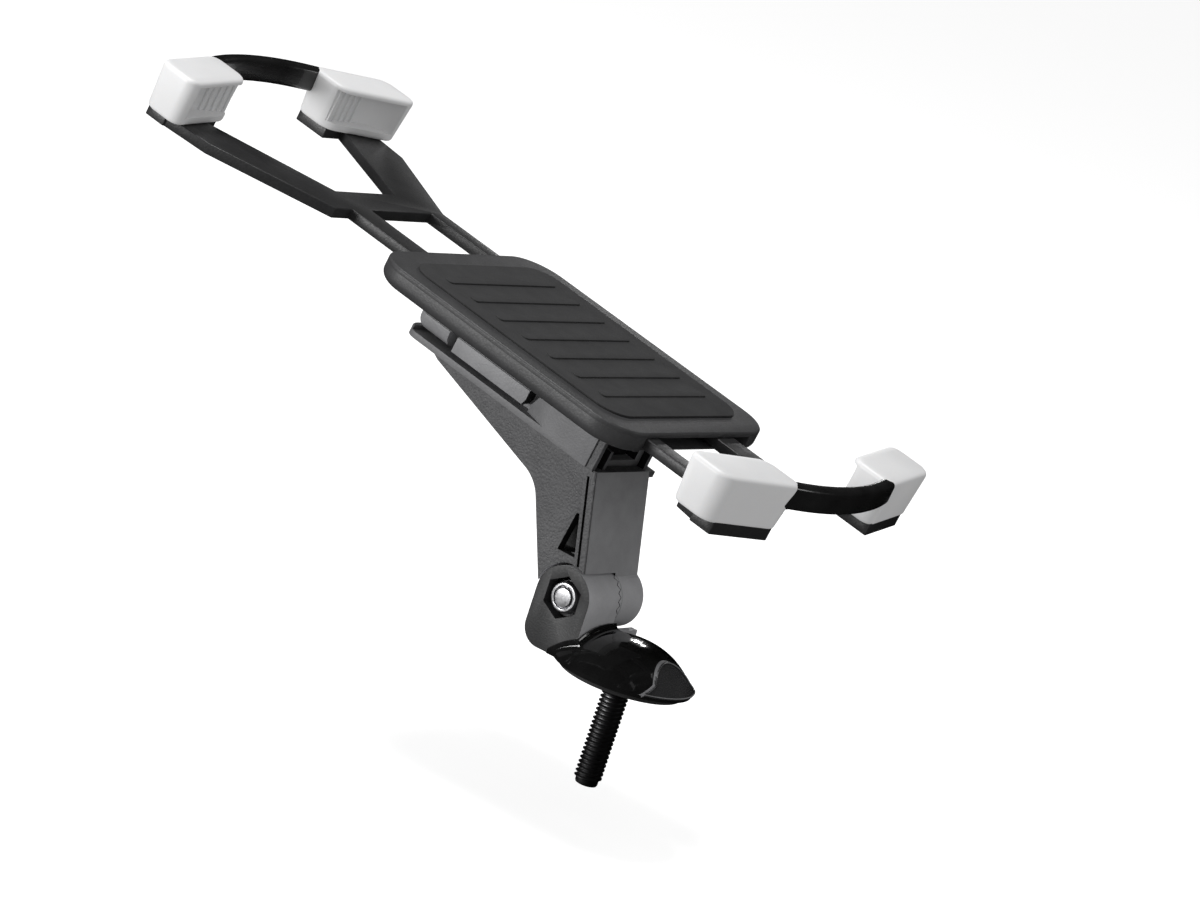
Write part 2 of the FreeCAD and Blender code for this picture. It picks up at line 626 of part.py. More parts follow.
def lever_spring():
    """Torsion spring: close coils side by side on the pin, and a leg that pushes the lever."""
    coils = []
    for k in range(SPRING_COILS):
        centre = Vector(SPRING_X + k * SPRING_PITCH, LEVER_PIN_U, LEVER_PIN_W)
        coils.append(Part.makeTorus(SPRING_R, SPRING_WIRE_R, centre, X))
    last_x = SPRING_X + (SPRING_COILS - 1) * SPRING_PITCH
    leg = rod((last_x, LEVER_PIN_U, LEVER_PIN_W + SPRING_R), Y, SPRING_WIRE_R * 0.96, SPRING_LEG)
    return fuse(coils + [leg])


# ---------------------------------------------------------------- cradle shell


def rounded_slab(x_half, u0, u1, w0, w1, corner_r):
    slab = box(-x_half, x_half, u0, u1, w0, w1)
    return soften(slab, corner_r, lambda e: along(e, Z))


SHELL_SCREWS = ((-25.5, -6.0), (25.5, -6.0), (-25.5, 49.0), (25.5, 49.0))


def jaw_channel(gap):
    """Room for the racks, the guide strips and the pinion, open at each end of the shell."""
    half = GUIDE_OUT + gap
    return box(-half, half, -BIG, BIG, SHELL_LOW + SHELL_FLOOR, SHELL_TOP + 1)


def cradle_shell():
    shell = rounded_slab(SHELL_HALF, SHELL_REAR, SHELL_FRONT, SHELL_LOW, SHELL_TOP, SHELL_CORNER_R)
    shell = soften(shell, 2.2, lambda e: middle(e).z < SHELL_LOW + 0.05)
    pocket = rounded_slab(SHELL_HALF - 1.8, SHELL_REAR + 1.8, SHELL_FRONT - 1.8, SHELL_LOW + SHELL_FLOOR,
                          SHELL_TOP + 1, SHELL_CORNER_R - 1.8)
    rail = box(GUIDE_OUT, GUIDE_OUT + 1.9, SHELL_REAR + 0.5, SHELL_FRONT - 0.5, SHELL_LOW + 0.4, SHELL_TOP)
    bosses = [rod((x, u, SHELL_LOW + 0.4), Z, 2.6, SHELL_TOP - SHELL_LOW - 0.4) for x, u in SHELL_SCREWS]
    body = fuse([shell.cut(pocket), rail, mirror_x(rail)] + bosses)
    body = body.cut(jaw_channel(0.08))
    for x, u in SHELL_SCREWS:
        body = body.cut(rod((x, u, SHELL_LOW - 1), Z, 1.0, 9))
        body = body.cut(Part.makeCone(2.1, 1.0, 1.1, Vector(x, u, SHELL_LOW - 0.02), Z))
    for x, u in FOOT_SCREWS:
        body = body.cut(rod((x, u, SHELL_LOW - 1), Z, 1.3, 9))
        body = body.cut(Part.makeCone(1.27, 2.42, 1.15, Vector(x, u, SHELL_LOW + SHELL_FLOOR - 1.14), Z))
    return body.cut(rod((0, PINION_U, SHELL_LOW - 1), Z, 1.5, 9))


def cradle_cover():
    cover = rounded_slab(SHELL_HALF, SHELL_REAR, SHELL_FRONT, SHELL_TOP, SHELL_TOP + COVER_T, SHELL_CORNER_R)
    cover = soften(cover, 0.5, lambda e: middle(e).z > SHELL_TOP + COVER_T - 0.05)
    for x, u in SHELL_SCREWS:
        cover = cover.cut(rod((x, u, SHELL_TOP - 1), Z, 1.0, 1.7))
    return cover.cut(rod((0, PINION_U, SHELL_TOP - 1), Z, 1.5, 1.6))


def shell_screws():
    screws = []
    for x, u in SHELL_SCREWS:
        screw = rod((x, u, SHELL_LOW + 0.1), Z, 1.0, SHELL_TOP - SHELL_LOW + 0.5)
        head = Part.makeCone(2.0, 1.0, 1.0, Vector(x, u, SHELL_LOW + 0.04), Z)
        recess = rod((x, u, SHELL_LOW - 1), Z, 0.75, 1.6)
        screws.append(fuse([screw, head]).cut(recess))
    return Part.makeCompound(screws)


def rubber_pad():
    """Thin pad on the cover, with raised grip ribs, that the phone's back lies on."""
    top = SHELL_TOP + COVER_T
    pad = rounded_slab(SHELL_HALF - 5, SHELL_REAR + 6, SHELL_FRONT - 6, top, top + PAD_T * 0.6, 6)
    ribs = []
    for k in range(7):
        u = PINION_U + (k - 3) * 7.5
        ribs.append(rounded_slab(SHELL_HALF - 10, u - 1.1, u + 1.1, top + 0.1, top + PAD_T, 1.0))
    return fuse([pad] + ribs)


# ---------------------------------------------------------------- jaws


def involute(base_r, t):
    return (base_r * (math.cos(t) + t * math.sin(t)), base_r * (math.sin(t) - t * math.cos(t)))


def pinion():
    """Involute pinion on a steel pin; it makes the two racks move by the same amount."""
    pitch_r = MODULE * PINION_TEETH / 2
    base_r = pitch_r * math.cos(math.radians(20))
    tip_r = pitch_r + 0.86 * MODULE
    root_r = pitch_r - 1.18 * MODULE
    pitch_t = math.tan(math.radians(20))
    half_pitch_angle = math.pi / (2 * PINION_TEETH) - 0.10 / pitch_r
    offset = half_pitch_angle + (pitch_t - math.radians(20))
    t_tip = math.sqrt((tip_r / base_r) ** 2 - 1)
    flank = []
    for k in range(5):
        x, y = involute(base_r, t_tip * k / 4)
        angle = math.atan2(y, x) - offset
        flank.append((math.hypot(x, y), angle))
    flank = [(root_r, flank[0][1] - 0.01)] + flank
    points = []
    for tooth in range(PINION_TEETH):
        centre = 2 * math.pi * tooth / PINION_TEETH
        left = [(r, centre + a) for r, a in flank]
        right = [(r, centre - a) for r, a in reversed(flank)]
        points += [(r * math.cos(a), PINION_U + r * math.sin(a)) for r, a in left + right]
    gear = prism(points, Z, JAW_LOW, JAW_LOW + JAW_T)
    gear = gear.cut(rod((0, PINION_U, 0), Z, PINION_BORE_R, 99))
    spring_room = rod((0, PINION_U, JAW_LOW + 1.2), Z, 4.2, 9)
    return gear.cut(spring_room)


def closing_spring():
    """Flat spiral spring in the pinion's recess, which pulls the jaws together."""
    turns, steps = 3, 12
    inner_r, outer_r, strip = 1.75, 4.05, 0.3
    count = turns * steps
    inside, outside = [], []
    for k in range(count + 1):
        angle = 2 * math.pi * k / steps
        radius = inner_r + (outer_r - strip - inner_r) * k / count
        inside.append((radius * math.cos(angle), PINION_U + radius * math.sin(angle)))
        outside.append(((radius + strip) * math.cos(angle), PINION_U + (radius + strip) * math.sin(angle)))
    return prism(inside + outside[::-1], Z, JAW_LOW + 1.25, JAW_LOW + JAW_T - 0.1)


def pinion_pin():
    return rod((0, PINION_U, SHELL_LOW + 0.1), Z, 1.5, SHELL_TOP - SHELL_LOW + 0.4)


def rack_tongue(pinion_u, end_u):
    """Toothed tongue at x < 0; its teeth face the pinion."""
    pitch_line = MODULE * PINION_TEETH / 2
    inner = pitch_line + 1.15 * MODULE
    outer = pitch_line - MODULE + RACK_W
    start = pinion_u - JAW_IN
    body = box(-outer, -inner, start, end_u, JAW_LOW, JAW_LOW + JAW_T)
    pitch = math.pi * MODULE
    tan20 = math.tan(math.radians(20))
    addendum = 0.86 * MODULE
    half = pitch / 4 - 0.10
    tip, root = -pitch_line + addendum, -inner - 0.2
    root_half = half + (-pitch_line - root) * tan20
    tip_half = half - addendum * tan20
    teeth = []
    for k in range(-math.floor(JAW_IN / pitch), math.ceil((JAW_CLOSE + 6) / pitch)):
        u = pinion_u + (k + 0.5) * pitch
        if u - root_half > start:
            corners = [(root, u - root_half), (tip, u - tip_half), (tip, u + tip_half), (root, u + root_half)]
            teeth.append(prism(corners, Z, JAW_LOW, JAW_LOW + JAW_T))
    return fuse([body] + teeth)


def jaw_frame(pinion_u, neck):
    """Jaw in dock axes: a rack and a guide strip, two diagonal legs and a post for each grip."""
    end = PHONE_MID + PHONE_L / 2
    top = JAW_LOW + JAW_T
    half = GUIDE_OUT
    spread = min(neck + 26, end - 6)
    hub_end = min(neck + 8, end - 3)
    hub = prism([(-half, neck), (-half, neck + 1.5), (-13, hub_end), (13, hub_end), (half, neck + 1.5),
                 (half, neck)], Z, JAW_LOW, top)
    leg = prism([(-half, neck), (-POST_OUT + 2, spread), (-POST_OUT, end + 2.4), (-POST_IN - 4, end + 4.5),
                 (-POST_IN - 6, end - 1), (-11, hub_end), (-11, neck)], Z, JAW_LOW, top)
    guide = box(GUIDE_IN, GUIDE_OUT, neck - JAW_CLOSE - 26, neck + 3, JAW_LOW, top)
    post = prism([(-POST_OUT, end + 1.9), (-POST_OUT, end + 1.9 + POST_T), (-POST_IN, end + 5.1 + POST_T),
                  (-POST_IN, end + 5.1)], Z, JAW_LOW, grip_top() - GRIP_TOP_T + 0.4)
    foot = prism([(-POST_OUT, end - 1), (-POST_OUT, end + 3), (-POST_IN, end + 6), (-POST_IN, end - 1)],
                 Z, JAW_LOW, top)
    tongue = rack_tongue(pinion_u, neck + 3)
    return fuse([hub, leg, mirror_x(leg), post, mirror_x(post), foot, mirror_x(foot), tongue, guide])


def grip_top():
    return SHELL_TOP + COVER_T + PAD_T + PHONE_T + 0.3 + GRIP_TOP_T


def bar_arc(offset):
    """Radius and centre of the bar's bow, offset outwards from its inner face."""
    half = GRIP_IN
    radius = (half ** 2 + BAR_BOW ** 2) / (2 * BAR_BOW)
    end = PHONE_MID + PHONE_L / 2
    inner_face = end + GRIP_BACK + GRIP_SLANT - BAR_T - 0.8
    return radius + offset, inner_face + BAR_BOW - radius


def jaw_bar():
    """Bowed bar across the front pair of grips."""
    outer_r, centre = bar_arc(BAR_T)
    inner_r, _ = bar_arc(0)
    low = grip_top() - 0.9 - BAR_H
    ring = rod((0, centre, low), Z, outer_r, BAR_H).cut(rod((0, centre, low - 1), Z, inner_r, BAR_H + 2))
    reach = POST_IN + 3.6
    bar = ring.common(box(-reach, reach, centre, BIG * 2, low - 1, low + BAR_H + 1))
    bar = soften(bar, 1.1, lambda e: middle(e).z > low + BAR_H - 0.05 and abs(middle(e).x) < reach - 0.5)
    return bar


def grip():
    """Corner grip in front of the phone at x < 0, open towards the phone's corner."""
    end = PHONE_MID + PHONE_L / 2
    top = grip_top()
    low = JAW_LOW + JAW_T + 0.05
    outline_top = [(-GRIP_OUT, end - GRIP_LIP), (-GRIP_OUT, end + GRIP_BACK), (-GRIP_IN, end + GRIP_BACK + GRIP_SLANT),
                   (-GRIP_IN, end - GRIP_LIP + GRIP_SLANT)]
    shrink = 1.1
    outline_low = [(-GRIP_OUT + shrink, end - GRIP_LIP + 0.4), (-GRIP_OUT + shrink, end + GRIP_BACK - shrink),
                   (-GRIP_IN - 0.5, end + GRIP_BACK + GRIP_SLANT - shrink),
                   (-GRIP_IN - 0.5, end - GRIP_LIP + GRIP_SLANT + 0.4)]
    wires = []
    for outline, w in ((outline_low, low), (outline_top, top)):
        corners = [Vector(a, b, w) for a, b in outline]
        wires.append(Part.makePolygon(corners + corners[:1]))
    boot = Part.makeLoft(wires, True, True)
    boot = soften(boot, 3.0, lambda e: low + 0.3 < middle(e).z < top - 0.3)
    boot = soften(boot, 0.9, lambda e: middle(e).z > top - 0.05)
    phone_low = SHELL_TOP + COVER_T + PAD_T
    phone = box(-PHONE_HALF - 0.15, PHONE_HALF, end - 60, end + 0.15, phone_low, phone_low + PHONE_T + 0.3)
    phone = soften(phone, PHONE_CORNER_R, lambda e: along(e, Z) and middle(e).y > end and middle(e).x < 0)
    return boot.cut(phone)


def jaw_set(pinion_u, neck):
    """Frame, bar and two grips of one jaw, each let into the next, in dock axes."""
    frame, bar, boot = jaw_frame(pinion_u, neck), jaw_bar(), grip()
    bar = bar.cut(frame)
    left = boot.cut(frame).cut(bar)
    left = max(left.Solids, key=lambda solid: solid.Volume)
    return frame, bar, left, mirror_x(left)


def turn_round(shape):
    """Half a turn about the middle of the phone, which makes a front piece a rear one."""
    turned = shape.copy()
    turned.rotate(Vector(0, PHONE_MID, 0), Z, 180)
    return turned


# ---------------------------------------------------------------- write the parts


def build_all():
    front = jaw_set(PINION_U, SHELL_FRONT + JAW_CLOSE + 1.5)
    rear = jaw_set(2 * PHONE_MID - PINION_U, 2 * PHONE_MID - SHELL_REAR + JAW_CLOSE + 1.5)
    made = {
        "cap_base": cap_base(),
        "dome_cover": dome_cover(),
        "badge_plate": badge_plate(),
        "steerer_bolt": steerer_bolt(),
        "steerer_washer": steerer_washer(),
        "lock_nut": lock_nut(),
        "nut_locking_ring": nut_locking_ring(),
        "pivot_bolt": pivot_bolt(),
        "pivot_washer": pivot_washer(),
        "arm_bracket": arm_bracket(),
    }
    on_dock = {
        "dock_tray": dock_tray(),
        "dock_screws": dock_screws(),
        "cradle_foot": cradle_foot(),
        "foot_screws": foot_screws(),
        "release_lever": release_lever(),
        "lever_pin": lever_pin(),
        "lever_spring": lever_spring(),
        "cradle_shell": cradle_shell(),
        "cradle_cover": cradle_cover(),
        "shell_screws": shell_screws(),
        "rubber_pad": rubber_pad(),
        "pinion": pinion(),
        "pinion_pin": pinion_pin(),
        "closing_spring": closing_spring(),
    }
    for name, shape in zip(("jaw", "bar", "left_grip", "right_grip"), front):
        on_dock["front_" + name] = shape
    for name, shape in zip(("jaw", "bar", "right_grip", "left_grip"), rear):
        on_dock["rear_" + name] = turn_round(shape)
    for name, shape in on_dock.items():
        made[name] = place_on_dock(shape)
    return made


for node, shape in build_all().items():
    if not shape.isValid():
        raise ValueError(node + " is not a valid solid")
    print(f"{node:18s} solids {len(shape.Solids)}  volume {shape.Volume / 1000:8.3f} cm3")
    shape.exportStep("parts/" + node + ".step")
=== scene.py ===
"""Finished look of a stem-cap bicycle phone mount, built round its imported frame."""
import json
import logging
import math
from dataclasses import dataclass
from enum import Enum
from typing import Callable, Iterable, Optional, Sequence

import bmesh
import bpy
from mathutils.bvhtree import BVHTree
from mathutils import Matrix, Vector


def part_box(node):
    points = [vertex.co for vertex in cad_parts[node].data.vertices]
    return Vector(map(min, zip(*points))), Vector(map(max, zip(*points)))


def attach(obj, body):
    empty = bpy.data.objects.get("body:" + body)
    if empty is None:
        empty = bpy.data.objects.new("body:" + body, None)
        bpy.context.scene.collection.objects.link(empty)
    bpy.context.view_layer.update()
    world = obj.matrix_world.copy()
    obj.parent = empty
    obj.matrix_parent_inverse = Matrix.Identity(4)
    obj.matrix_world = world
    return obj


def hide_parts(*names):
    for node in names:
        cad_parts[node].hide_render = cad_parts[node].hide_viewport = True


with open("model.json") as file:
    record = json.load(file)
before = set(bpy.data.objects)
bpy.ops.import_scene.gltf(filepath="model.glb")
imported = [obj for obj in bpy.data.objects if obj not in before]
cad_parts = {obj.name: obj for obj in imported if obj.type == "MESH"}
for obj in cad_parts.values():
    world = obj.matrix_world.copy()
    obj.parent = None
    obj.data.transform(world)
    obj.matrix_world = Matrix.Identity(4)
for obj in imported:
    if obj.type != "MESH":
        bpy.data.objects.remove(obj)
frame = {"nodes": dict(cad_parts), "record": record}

LOG = logging.getLogger("phone_mount")
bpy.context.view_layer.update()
MM = 0.001


class Body(Enum):
    """The rigid bodies that pieces ride on."""

    CAP = "cap"
    ARM = "arm"
    CRADLE = "cradle"
    LEVER = "lever"
    GEAR = "gear"
    FRONT = "front"
    REAR = "rear"


# --------------------------------------------------------------------------- materials


class NodeGraph:
    """A material's node tree, with short calls to add and join nodes."""

    def __init__(self, name: str) -> None:
        """Start a material with one Principled shader.

        Args:
            name: the material's name.
        """
        self.material = bpy.data.materials.new(name)
        self.material.use_nodes = True
        self.tree = self.material.node_tree
        self.shader = self.tree.nodes["Principled BSDF"]
        coords = self.tree.nodes.new("ShaderNodeTexCoord")
        self.place = coords.outputs["Object"]

    def join(self, source: bpy.types.NodeSocket, target: bpy.types.NodeSocket) -> None:
        """Link two sockets."""
        self.tree.links.new(source, target)

    def noise(self, scale: float, detail: float = 3.0, roughness: float = 0.55,
              stretch: Optional[Sequence[float]] = None) -> bpy.types.NodeSocket:
        """Add a noise texture on Object coordinates.

        Args:
            scale: cells per metre.
            detail: octaves.
            roughness: how strongly the finer octaves show.
            stretch: scale along X, Y and Z, for a brushed grain.

        Returns:
            The noise's value socket.
        """
        node = self.tree.nodes.new("ShaderNodeTexNoise")
        node.inputs["Scale"].default_value = scale
        node.inputs["Detail"].default_value = detail
        node.inputs["Roughness"].default_value = roughness
        source = self.place
        if stretch is not None:
            mapping = self.tree.nodes.new("ShaderNodeMapping")
            mapping.inputs["Scale"].default_value = stretch
            self.join(self.place, mapping.inputs["Vector"])
            source = mapping.outputs["Vector"]
        self.join(source, node.inputs["Vector"])
        return node.outputs["Fac"]

    def cells(self, scale: float) -> bpy.types.NodeSocket:
        """Add a Voronoi texture on Object coordinates.

        Args:
            scale: cells per metre.

        Returns:
            The distance socket, 0 at each cell's centre.
        """
        node = self.tree.nodes.new("ShaderNodeTexVoronoi")
        node.inputs["Scale"].default_value = scale
        self.join(self.place, node.inputs["Vector"])
        return node.outputs["Distance"]

    def spread(self, value: bpy.types.NodeSocket, low: float, high: float,
               start: float = 0.3, stop: float = 0.7) -> bpy.types.NodeSocket:
        """Map a value onto a range.

        Args:
            value: the socket to map.
            low: the result at start.
            high: the result at stop.
            start: the input that gives low.
            stop: the input that gives high.

        Returns:
            The mapped value.
        """
        node = self.tree.nodes.new("ShaderNodeMapRange")
        node.inputs["From Min"].default_value = start
        node.inputs["From Max"].default_value = stop
        node.inputs["To Min"].default_value = low
        node.inputs["To Max"].default_value = high
        self.join(value, node.inputs["Value"])
        return node.outputs["Result"]

    def tint(self, value: bpy.types.NodeSocket, dark: Sequence[float], light: Sequence[float],
             start: float = 0.3, stop: float = 0.7) -> None:
        """Colour the shader between two colours by a value.

        Args:
            value: the socket that chooses the colour.
            dark: colour at start.
            light: colour at stop.
            start: the value that gives dark.
            stop: the value that gives light.
        """
        ramp = self.tree.nodes.new("ShaderNodeValToRGB")
        ramp.color_ramp.elements[0].position = start
        ramp.color_ramp.elements[0].color = (*dark, 1.0)
        ramp.color_ramp.elements[1].position = stop
        ramp.color_ramp.elements[1].color = (*light, 1.0)
        self.join(value, ramp.inputs["Fac"])
        self.join(ramp.outputs["Color"], self.shader.inputs["Base Color"])

    def blend(self, first: bpy.types.NodeSocket, second: bpy.types.NodeSocket,
              share: float) -> bpy.types.NodeSocket:
        """Mix two values.

        Args:
            first: the value kept at share 0.
            second: the value kept at share 1.
            share: how much of the second shows.

        Returns:
            The mixed value.
        """
        node = self.tree.nodes.new("ShaderNodeMix")
        node.inputs["Factor"].default_value = share
        self.join(first, node.inputs["A"])
        self.join(second, node.inputs["B"])
        return node.outputs["Result"]

    def bump(self, height: bpy.types.NodeSocket, depth: float, strength: float) -> None:
        """Raise the surface by a height socket.

        Args:
            height: the height, 0 to 1.
            depth: metres from 0 to 1.
            strength: 0 to 1.
        """
        node = self.tree.nodes.new("ShaderNodeBump")
        node.inputs["Distance"].default_value = depth
        node.inputs["Strength"].default_value = strength
        self.join(height, node.inputs["Height"])
        self.join(node.outputs["Normal"], self.shader.inputs["Normal"])

    def roughness(self, value: bpy.types.NodeSocket, low: float, high: float) -> None:
        """Vary the roughness between two values by a socket."""
        self.join(self.spread(value, low, high), self.shader.inputs["Roughness"])


@dataclass(frozen=True)
class MouldedPlastic:
    """Dark moulded plastic with a spark-eroded grain."""

    name: str
    shade: float
    grain: float = 0.5
    low_rough: float = 0.42
    high_rough: float = 0.58
    relief: float = 0.00006
    per_metre: float = 2600

    def make(self) -> bpy.types.Material:
        """Return the plastic as a material."""
        graph = NodeGraph(self.name)
        mottle = graph.noise(220, 4)
        grain = graph.blend(graph.noise(self.per_metre * 1.2, 2, 0.6), graph.cells(self.per_metre), 0.45)
        base = (self.shade, self.shade, self.shade * 1.03)
        worn = tuple(min(1.0, c * 1.28 + 0.004) for c in base)
        graph.tint(graph.blend(mottle, grain, 0.35), base, worn)
        graph.roughness(grain, self.low_rough, self.high_rough)
        graph.bump(grain, self.relief, self.grain)
        graph.shader.inputs["Specular IOR Level"].default_value = 0.45
        return graph.material


@dataclass(frozen=True)
class GlossBlack:
    """Polished black plastic with faint dust and hairlines in its gloss."""

    name: str
    shade: float = 0.006
    rough: float = 0.07

    def make(self) -> bpy.types.Material:
        """Return the gloss as a material."""
        graph = NodeGraph(self.name)
        haze = graph.noise(160, 5, 0.6)
        hairline = graph.noise(900, 3, 0.5, (1.0, 6.0, 1.0))
        graph.tint(haze, (self.shade,) * 3, (self.shade * 1.9,) * 3)
        graph.roughness(graph.blend(haze, hairline, 0.4), self.rough, self.rough + 0.07)
        graph.bump(graph.noise(90, 2), 0.00002, 0.05)
        graph.shader.inputs["Coat Weight"].default_value = 0.6
        graph.shader.inputs["Coat Roughness"].default_value = 0.04
        return graph.material


@dataclass(frozen=True)
class SiliconeRubber:
    """Pale silk-smooth silicone with a faint bloom."""

    name: str
    shade: float = 0.86

    def make(self) -> bpy.types.Material:
        """Return the rubber as a material."""
        graph = NodeGraph(self.name)
        bloom = graph.noise(75, 4, 0.6)
        grain = graph.noise(2400, 3, 0.6)
        base = (self.shade, self.shade, self.shade * 1.005)
        graph.tint(graph.blend(bloom, grain, 0.3), tuple(c * 0.955 for c in base), base)
        graph.roughness(graph.blend(bloom, grain, 0.5), 0.38, 0.52)
        graph.bump(grain, 0.00003, 0.35)
        graph.shader.inputs["Sheen Weight"].default_value = 0.15
        graph.shader.inputs["Sheen Roughness"].default_value = 0.5
        graph.shader.inputs["Subsurface Weight"].default_value = 0.08
        graph.shader.inputs["Subsurface Radius"].default_value = (0.002, 0.0018, 0.0016)
        return graph.material


@dataclass(frozen=True)
class PlatedSteel:
    """Plated or blackened steel with a turned grain."""

    name: str
    shade: float
    rough: float
    stretch: tuple[float, float, float] = (8.0, 1.0, 1.0)

    def make(self) -> bpy.types.Material:
        """Return the steel as a material."""
        graph = NodeGraph(self.name)
        grain = graph.noise(1400, 4, 0.6, self.stretch)
        stain = graph.noise(260, 4, 0.6)
        base = (self.shade, self.shade, self.shade * 1.02)
        graph.tint(graph.blend(stain, grain, 0.5), tuple(c * 0.8 for c in base), base)
        graph.roughness(graph.blend(grain, stain, 0.35), self.rough, self.rough + 0.16)
        graph.bump(grain, 0.00002, 0.3)
        graph.shader.inputs["Metallic"].default_value = 1.0
        return graph.material


class Finish(Enum):
    """The object's finishes, by the record's material slot."""

    CAP_PLASTIC = "cap_plastic"
    GLOSS_BLACK = "gloss_black"
    BADGE_SATIN = "badge_satin"
    DARK_STEEL = "dark_steel"
    ZINC_STEEL = "zinc_steel"
    SPRING_STEEL = "spring_steel"
    NYLON_RING = "nylon_ring"
    ARM_PLASTIC = "arm_plastic"
    FOOT_PLASTIC = "foot_plastic"
    CRADLE_PLASTIC = "cradle_plastic"
    PAD_RUBBER = "pad_rubber"
    GEAR_ACETAL = "gear_acetal"
    JAW_PLASTIC = "jaw_plastic"
    GRIP_RUBBER = "grip_rubber"
    PLATE_SATIN = "plate_satin_painted_light"
    BARREL_SATIN = "barrel_painted_light"
    RECESS_PLASTIC = "painted_shade_plastic"
    BADGE_EDGE = "badge_rim_highlight"
    TRAY_PLASTIC = "tray_plastic"
    BAR_SATIN = "bar_satin"


RECIPES = {
    Finish.CAP_PLASTIC: MouldedPlastic("cap_plastic", 0.026, 0.45, 0.40, 0.55, 0.00009),
    Finish.GLOSS_BLACK: GlossBlack("gloss_black"),
    Finish.BADGE_SATIN: MouldedPlastic("badge_satin", 0.030, 0.2, 0.22, 0.30, 0.00002, 5000),
    # Painted highlight: the badge's raised rim is painted light grey.
    Finish.BADGE_EDGE: MouldedPlastic("badge_rim_highlight", 0.16, 0.2, 0.24, 0.34, 0.00002, 5000),
    Finish.DARK_STEEL: PlatedSteel("dark_steel", 0.16, 0.34),
    Finish.ZINC_STEEL: PlatedSteel("zinc_steel", 0.72, 0.26),
    Finish.SPRING_STEEL: PlatedSteel("spring_steel", 0.55, 0.28),
    Finish.NYLON_RING: MouldedPlastic("nylon_ring", 0.02, 0.2, 0.5, 0.6),
    Finish.ARM_PLASTIC: MouldedPlastic("arm_plastic", 0.088, 1.0, 0.44, 0.62, 0.00032, 1700),
    # Partly painted light: the rear plate's smoother satin is real, but its colour is painted lighter than
    # the arm's sides for the light from the rider's side.
    Finish.PLATE_SATIN: MouldedPlastic("plate_satin_painted_light", 0.270, 0.3, 0.40, 0.50, 0.00006, 3000),
    # Painted light: the cap's and arm's own plastic, painted much lighter on the hinge barrels for the light
    # from the rider's side.
    Finish.BARREL_SATIN: MouldedPlastic("barrel_painted_light", 0.420, 0.3, 0.34, 0.46, 0.00006, 3000),
    # Painted shade: near-black plastic laid on windows, channels, tooth flanks and other faces where shade
    # falls.
    Finish.RECESS_PLASTIC: MouldedPlastic("painted_shade_plastic", 0.006, 0.3, 0.6, 0.8),
    Finish.FOOT_PLASTIC: MouldedPlastic("foot_plastic", 0.230, 0.6, 0.40, 0.54, 0.00012, 2200),
    Finish.TRAY_PLASTIC: MouldedPlastic("tray_plastic", 0.150, 0.6, 0.42, 0.58, 0.00012, 2200),
    Finish.BAR_SATIN: GlossBlack("bar_satin", 0.010, 0.20),
    Finish.CRADLE_PLASTIC: MouldedPlastic("cradle_plastic", 0.045, 0.5, 0.42, 0.54, 0.00009, 2200),
    Finish.PAD_RUBBER: MouldedPlastic("pad_rubber", 0.030, 0.5, 0.7, 0.85),
    Finish.GEAR_ACETAL: MouldedPlastic("gear_acetal", 0.62, 0.2, 0.35, 0.45),
    Finish.JAW_PLASTIC: MouldedPlastic("jaw_plastic", 0.022, 0.45, 0.34, 0.46, 0.00008, 2400),
    Finish.GRIP_RUBBER: SiliconeRubber("grip_rubber"),
}


class Paintbox:
    """Makes each finish once and dresses pieces with it."""

    def __init__(self) -> None:
        """Start with no finish made."""
        self.made: dict[Finish, bpy.types.Material] = {}

    def stock(self, finish: Finish) -> bpy.types.Material:
        """Return a finish's material, made the first time that it's asked for."""
        if finish not in self.made:
            self.made[finish] = RECIPES[finish].make()
        return self.made[finish]

    def dress(self, piece: bpy.types.Object, finish: Finish) -> None:
        """Give a piece one finish all over.

        Args:
            piece: a mesh object.
            finish: the finish to wear.
        """
        material = self.stock(finish)
        if piece.data.materials:
            for index in range(len(piece.data.materials)):
                piece.data.materials[index] = material
        else:
            piece.data.materials.append(material)

    def dress_rest(self, piece: bpy.types.Object, finish: Finish, wanted: "Chooser") -> None:
        """Give the faces that a test wants a second finish.

        Args:
            piece: a mesh object that is already dressed.
            finish: the second finish.
            wanted: the test on each face.
        """
        piece.data.materials.append(self.stock(finish))
        for face in piece.data.polygons:
            if wanted(face):
                face.material_index = len(piece.data.materials) - 1


# --------------------------------------------------------------------------- mesh work


Chooser = Callable[[bpy.types.MeshPolygon], bool]


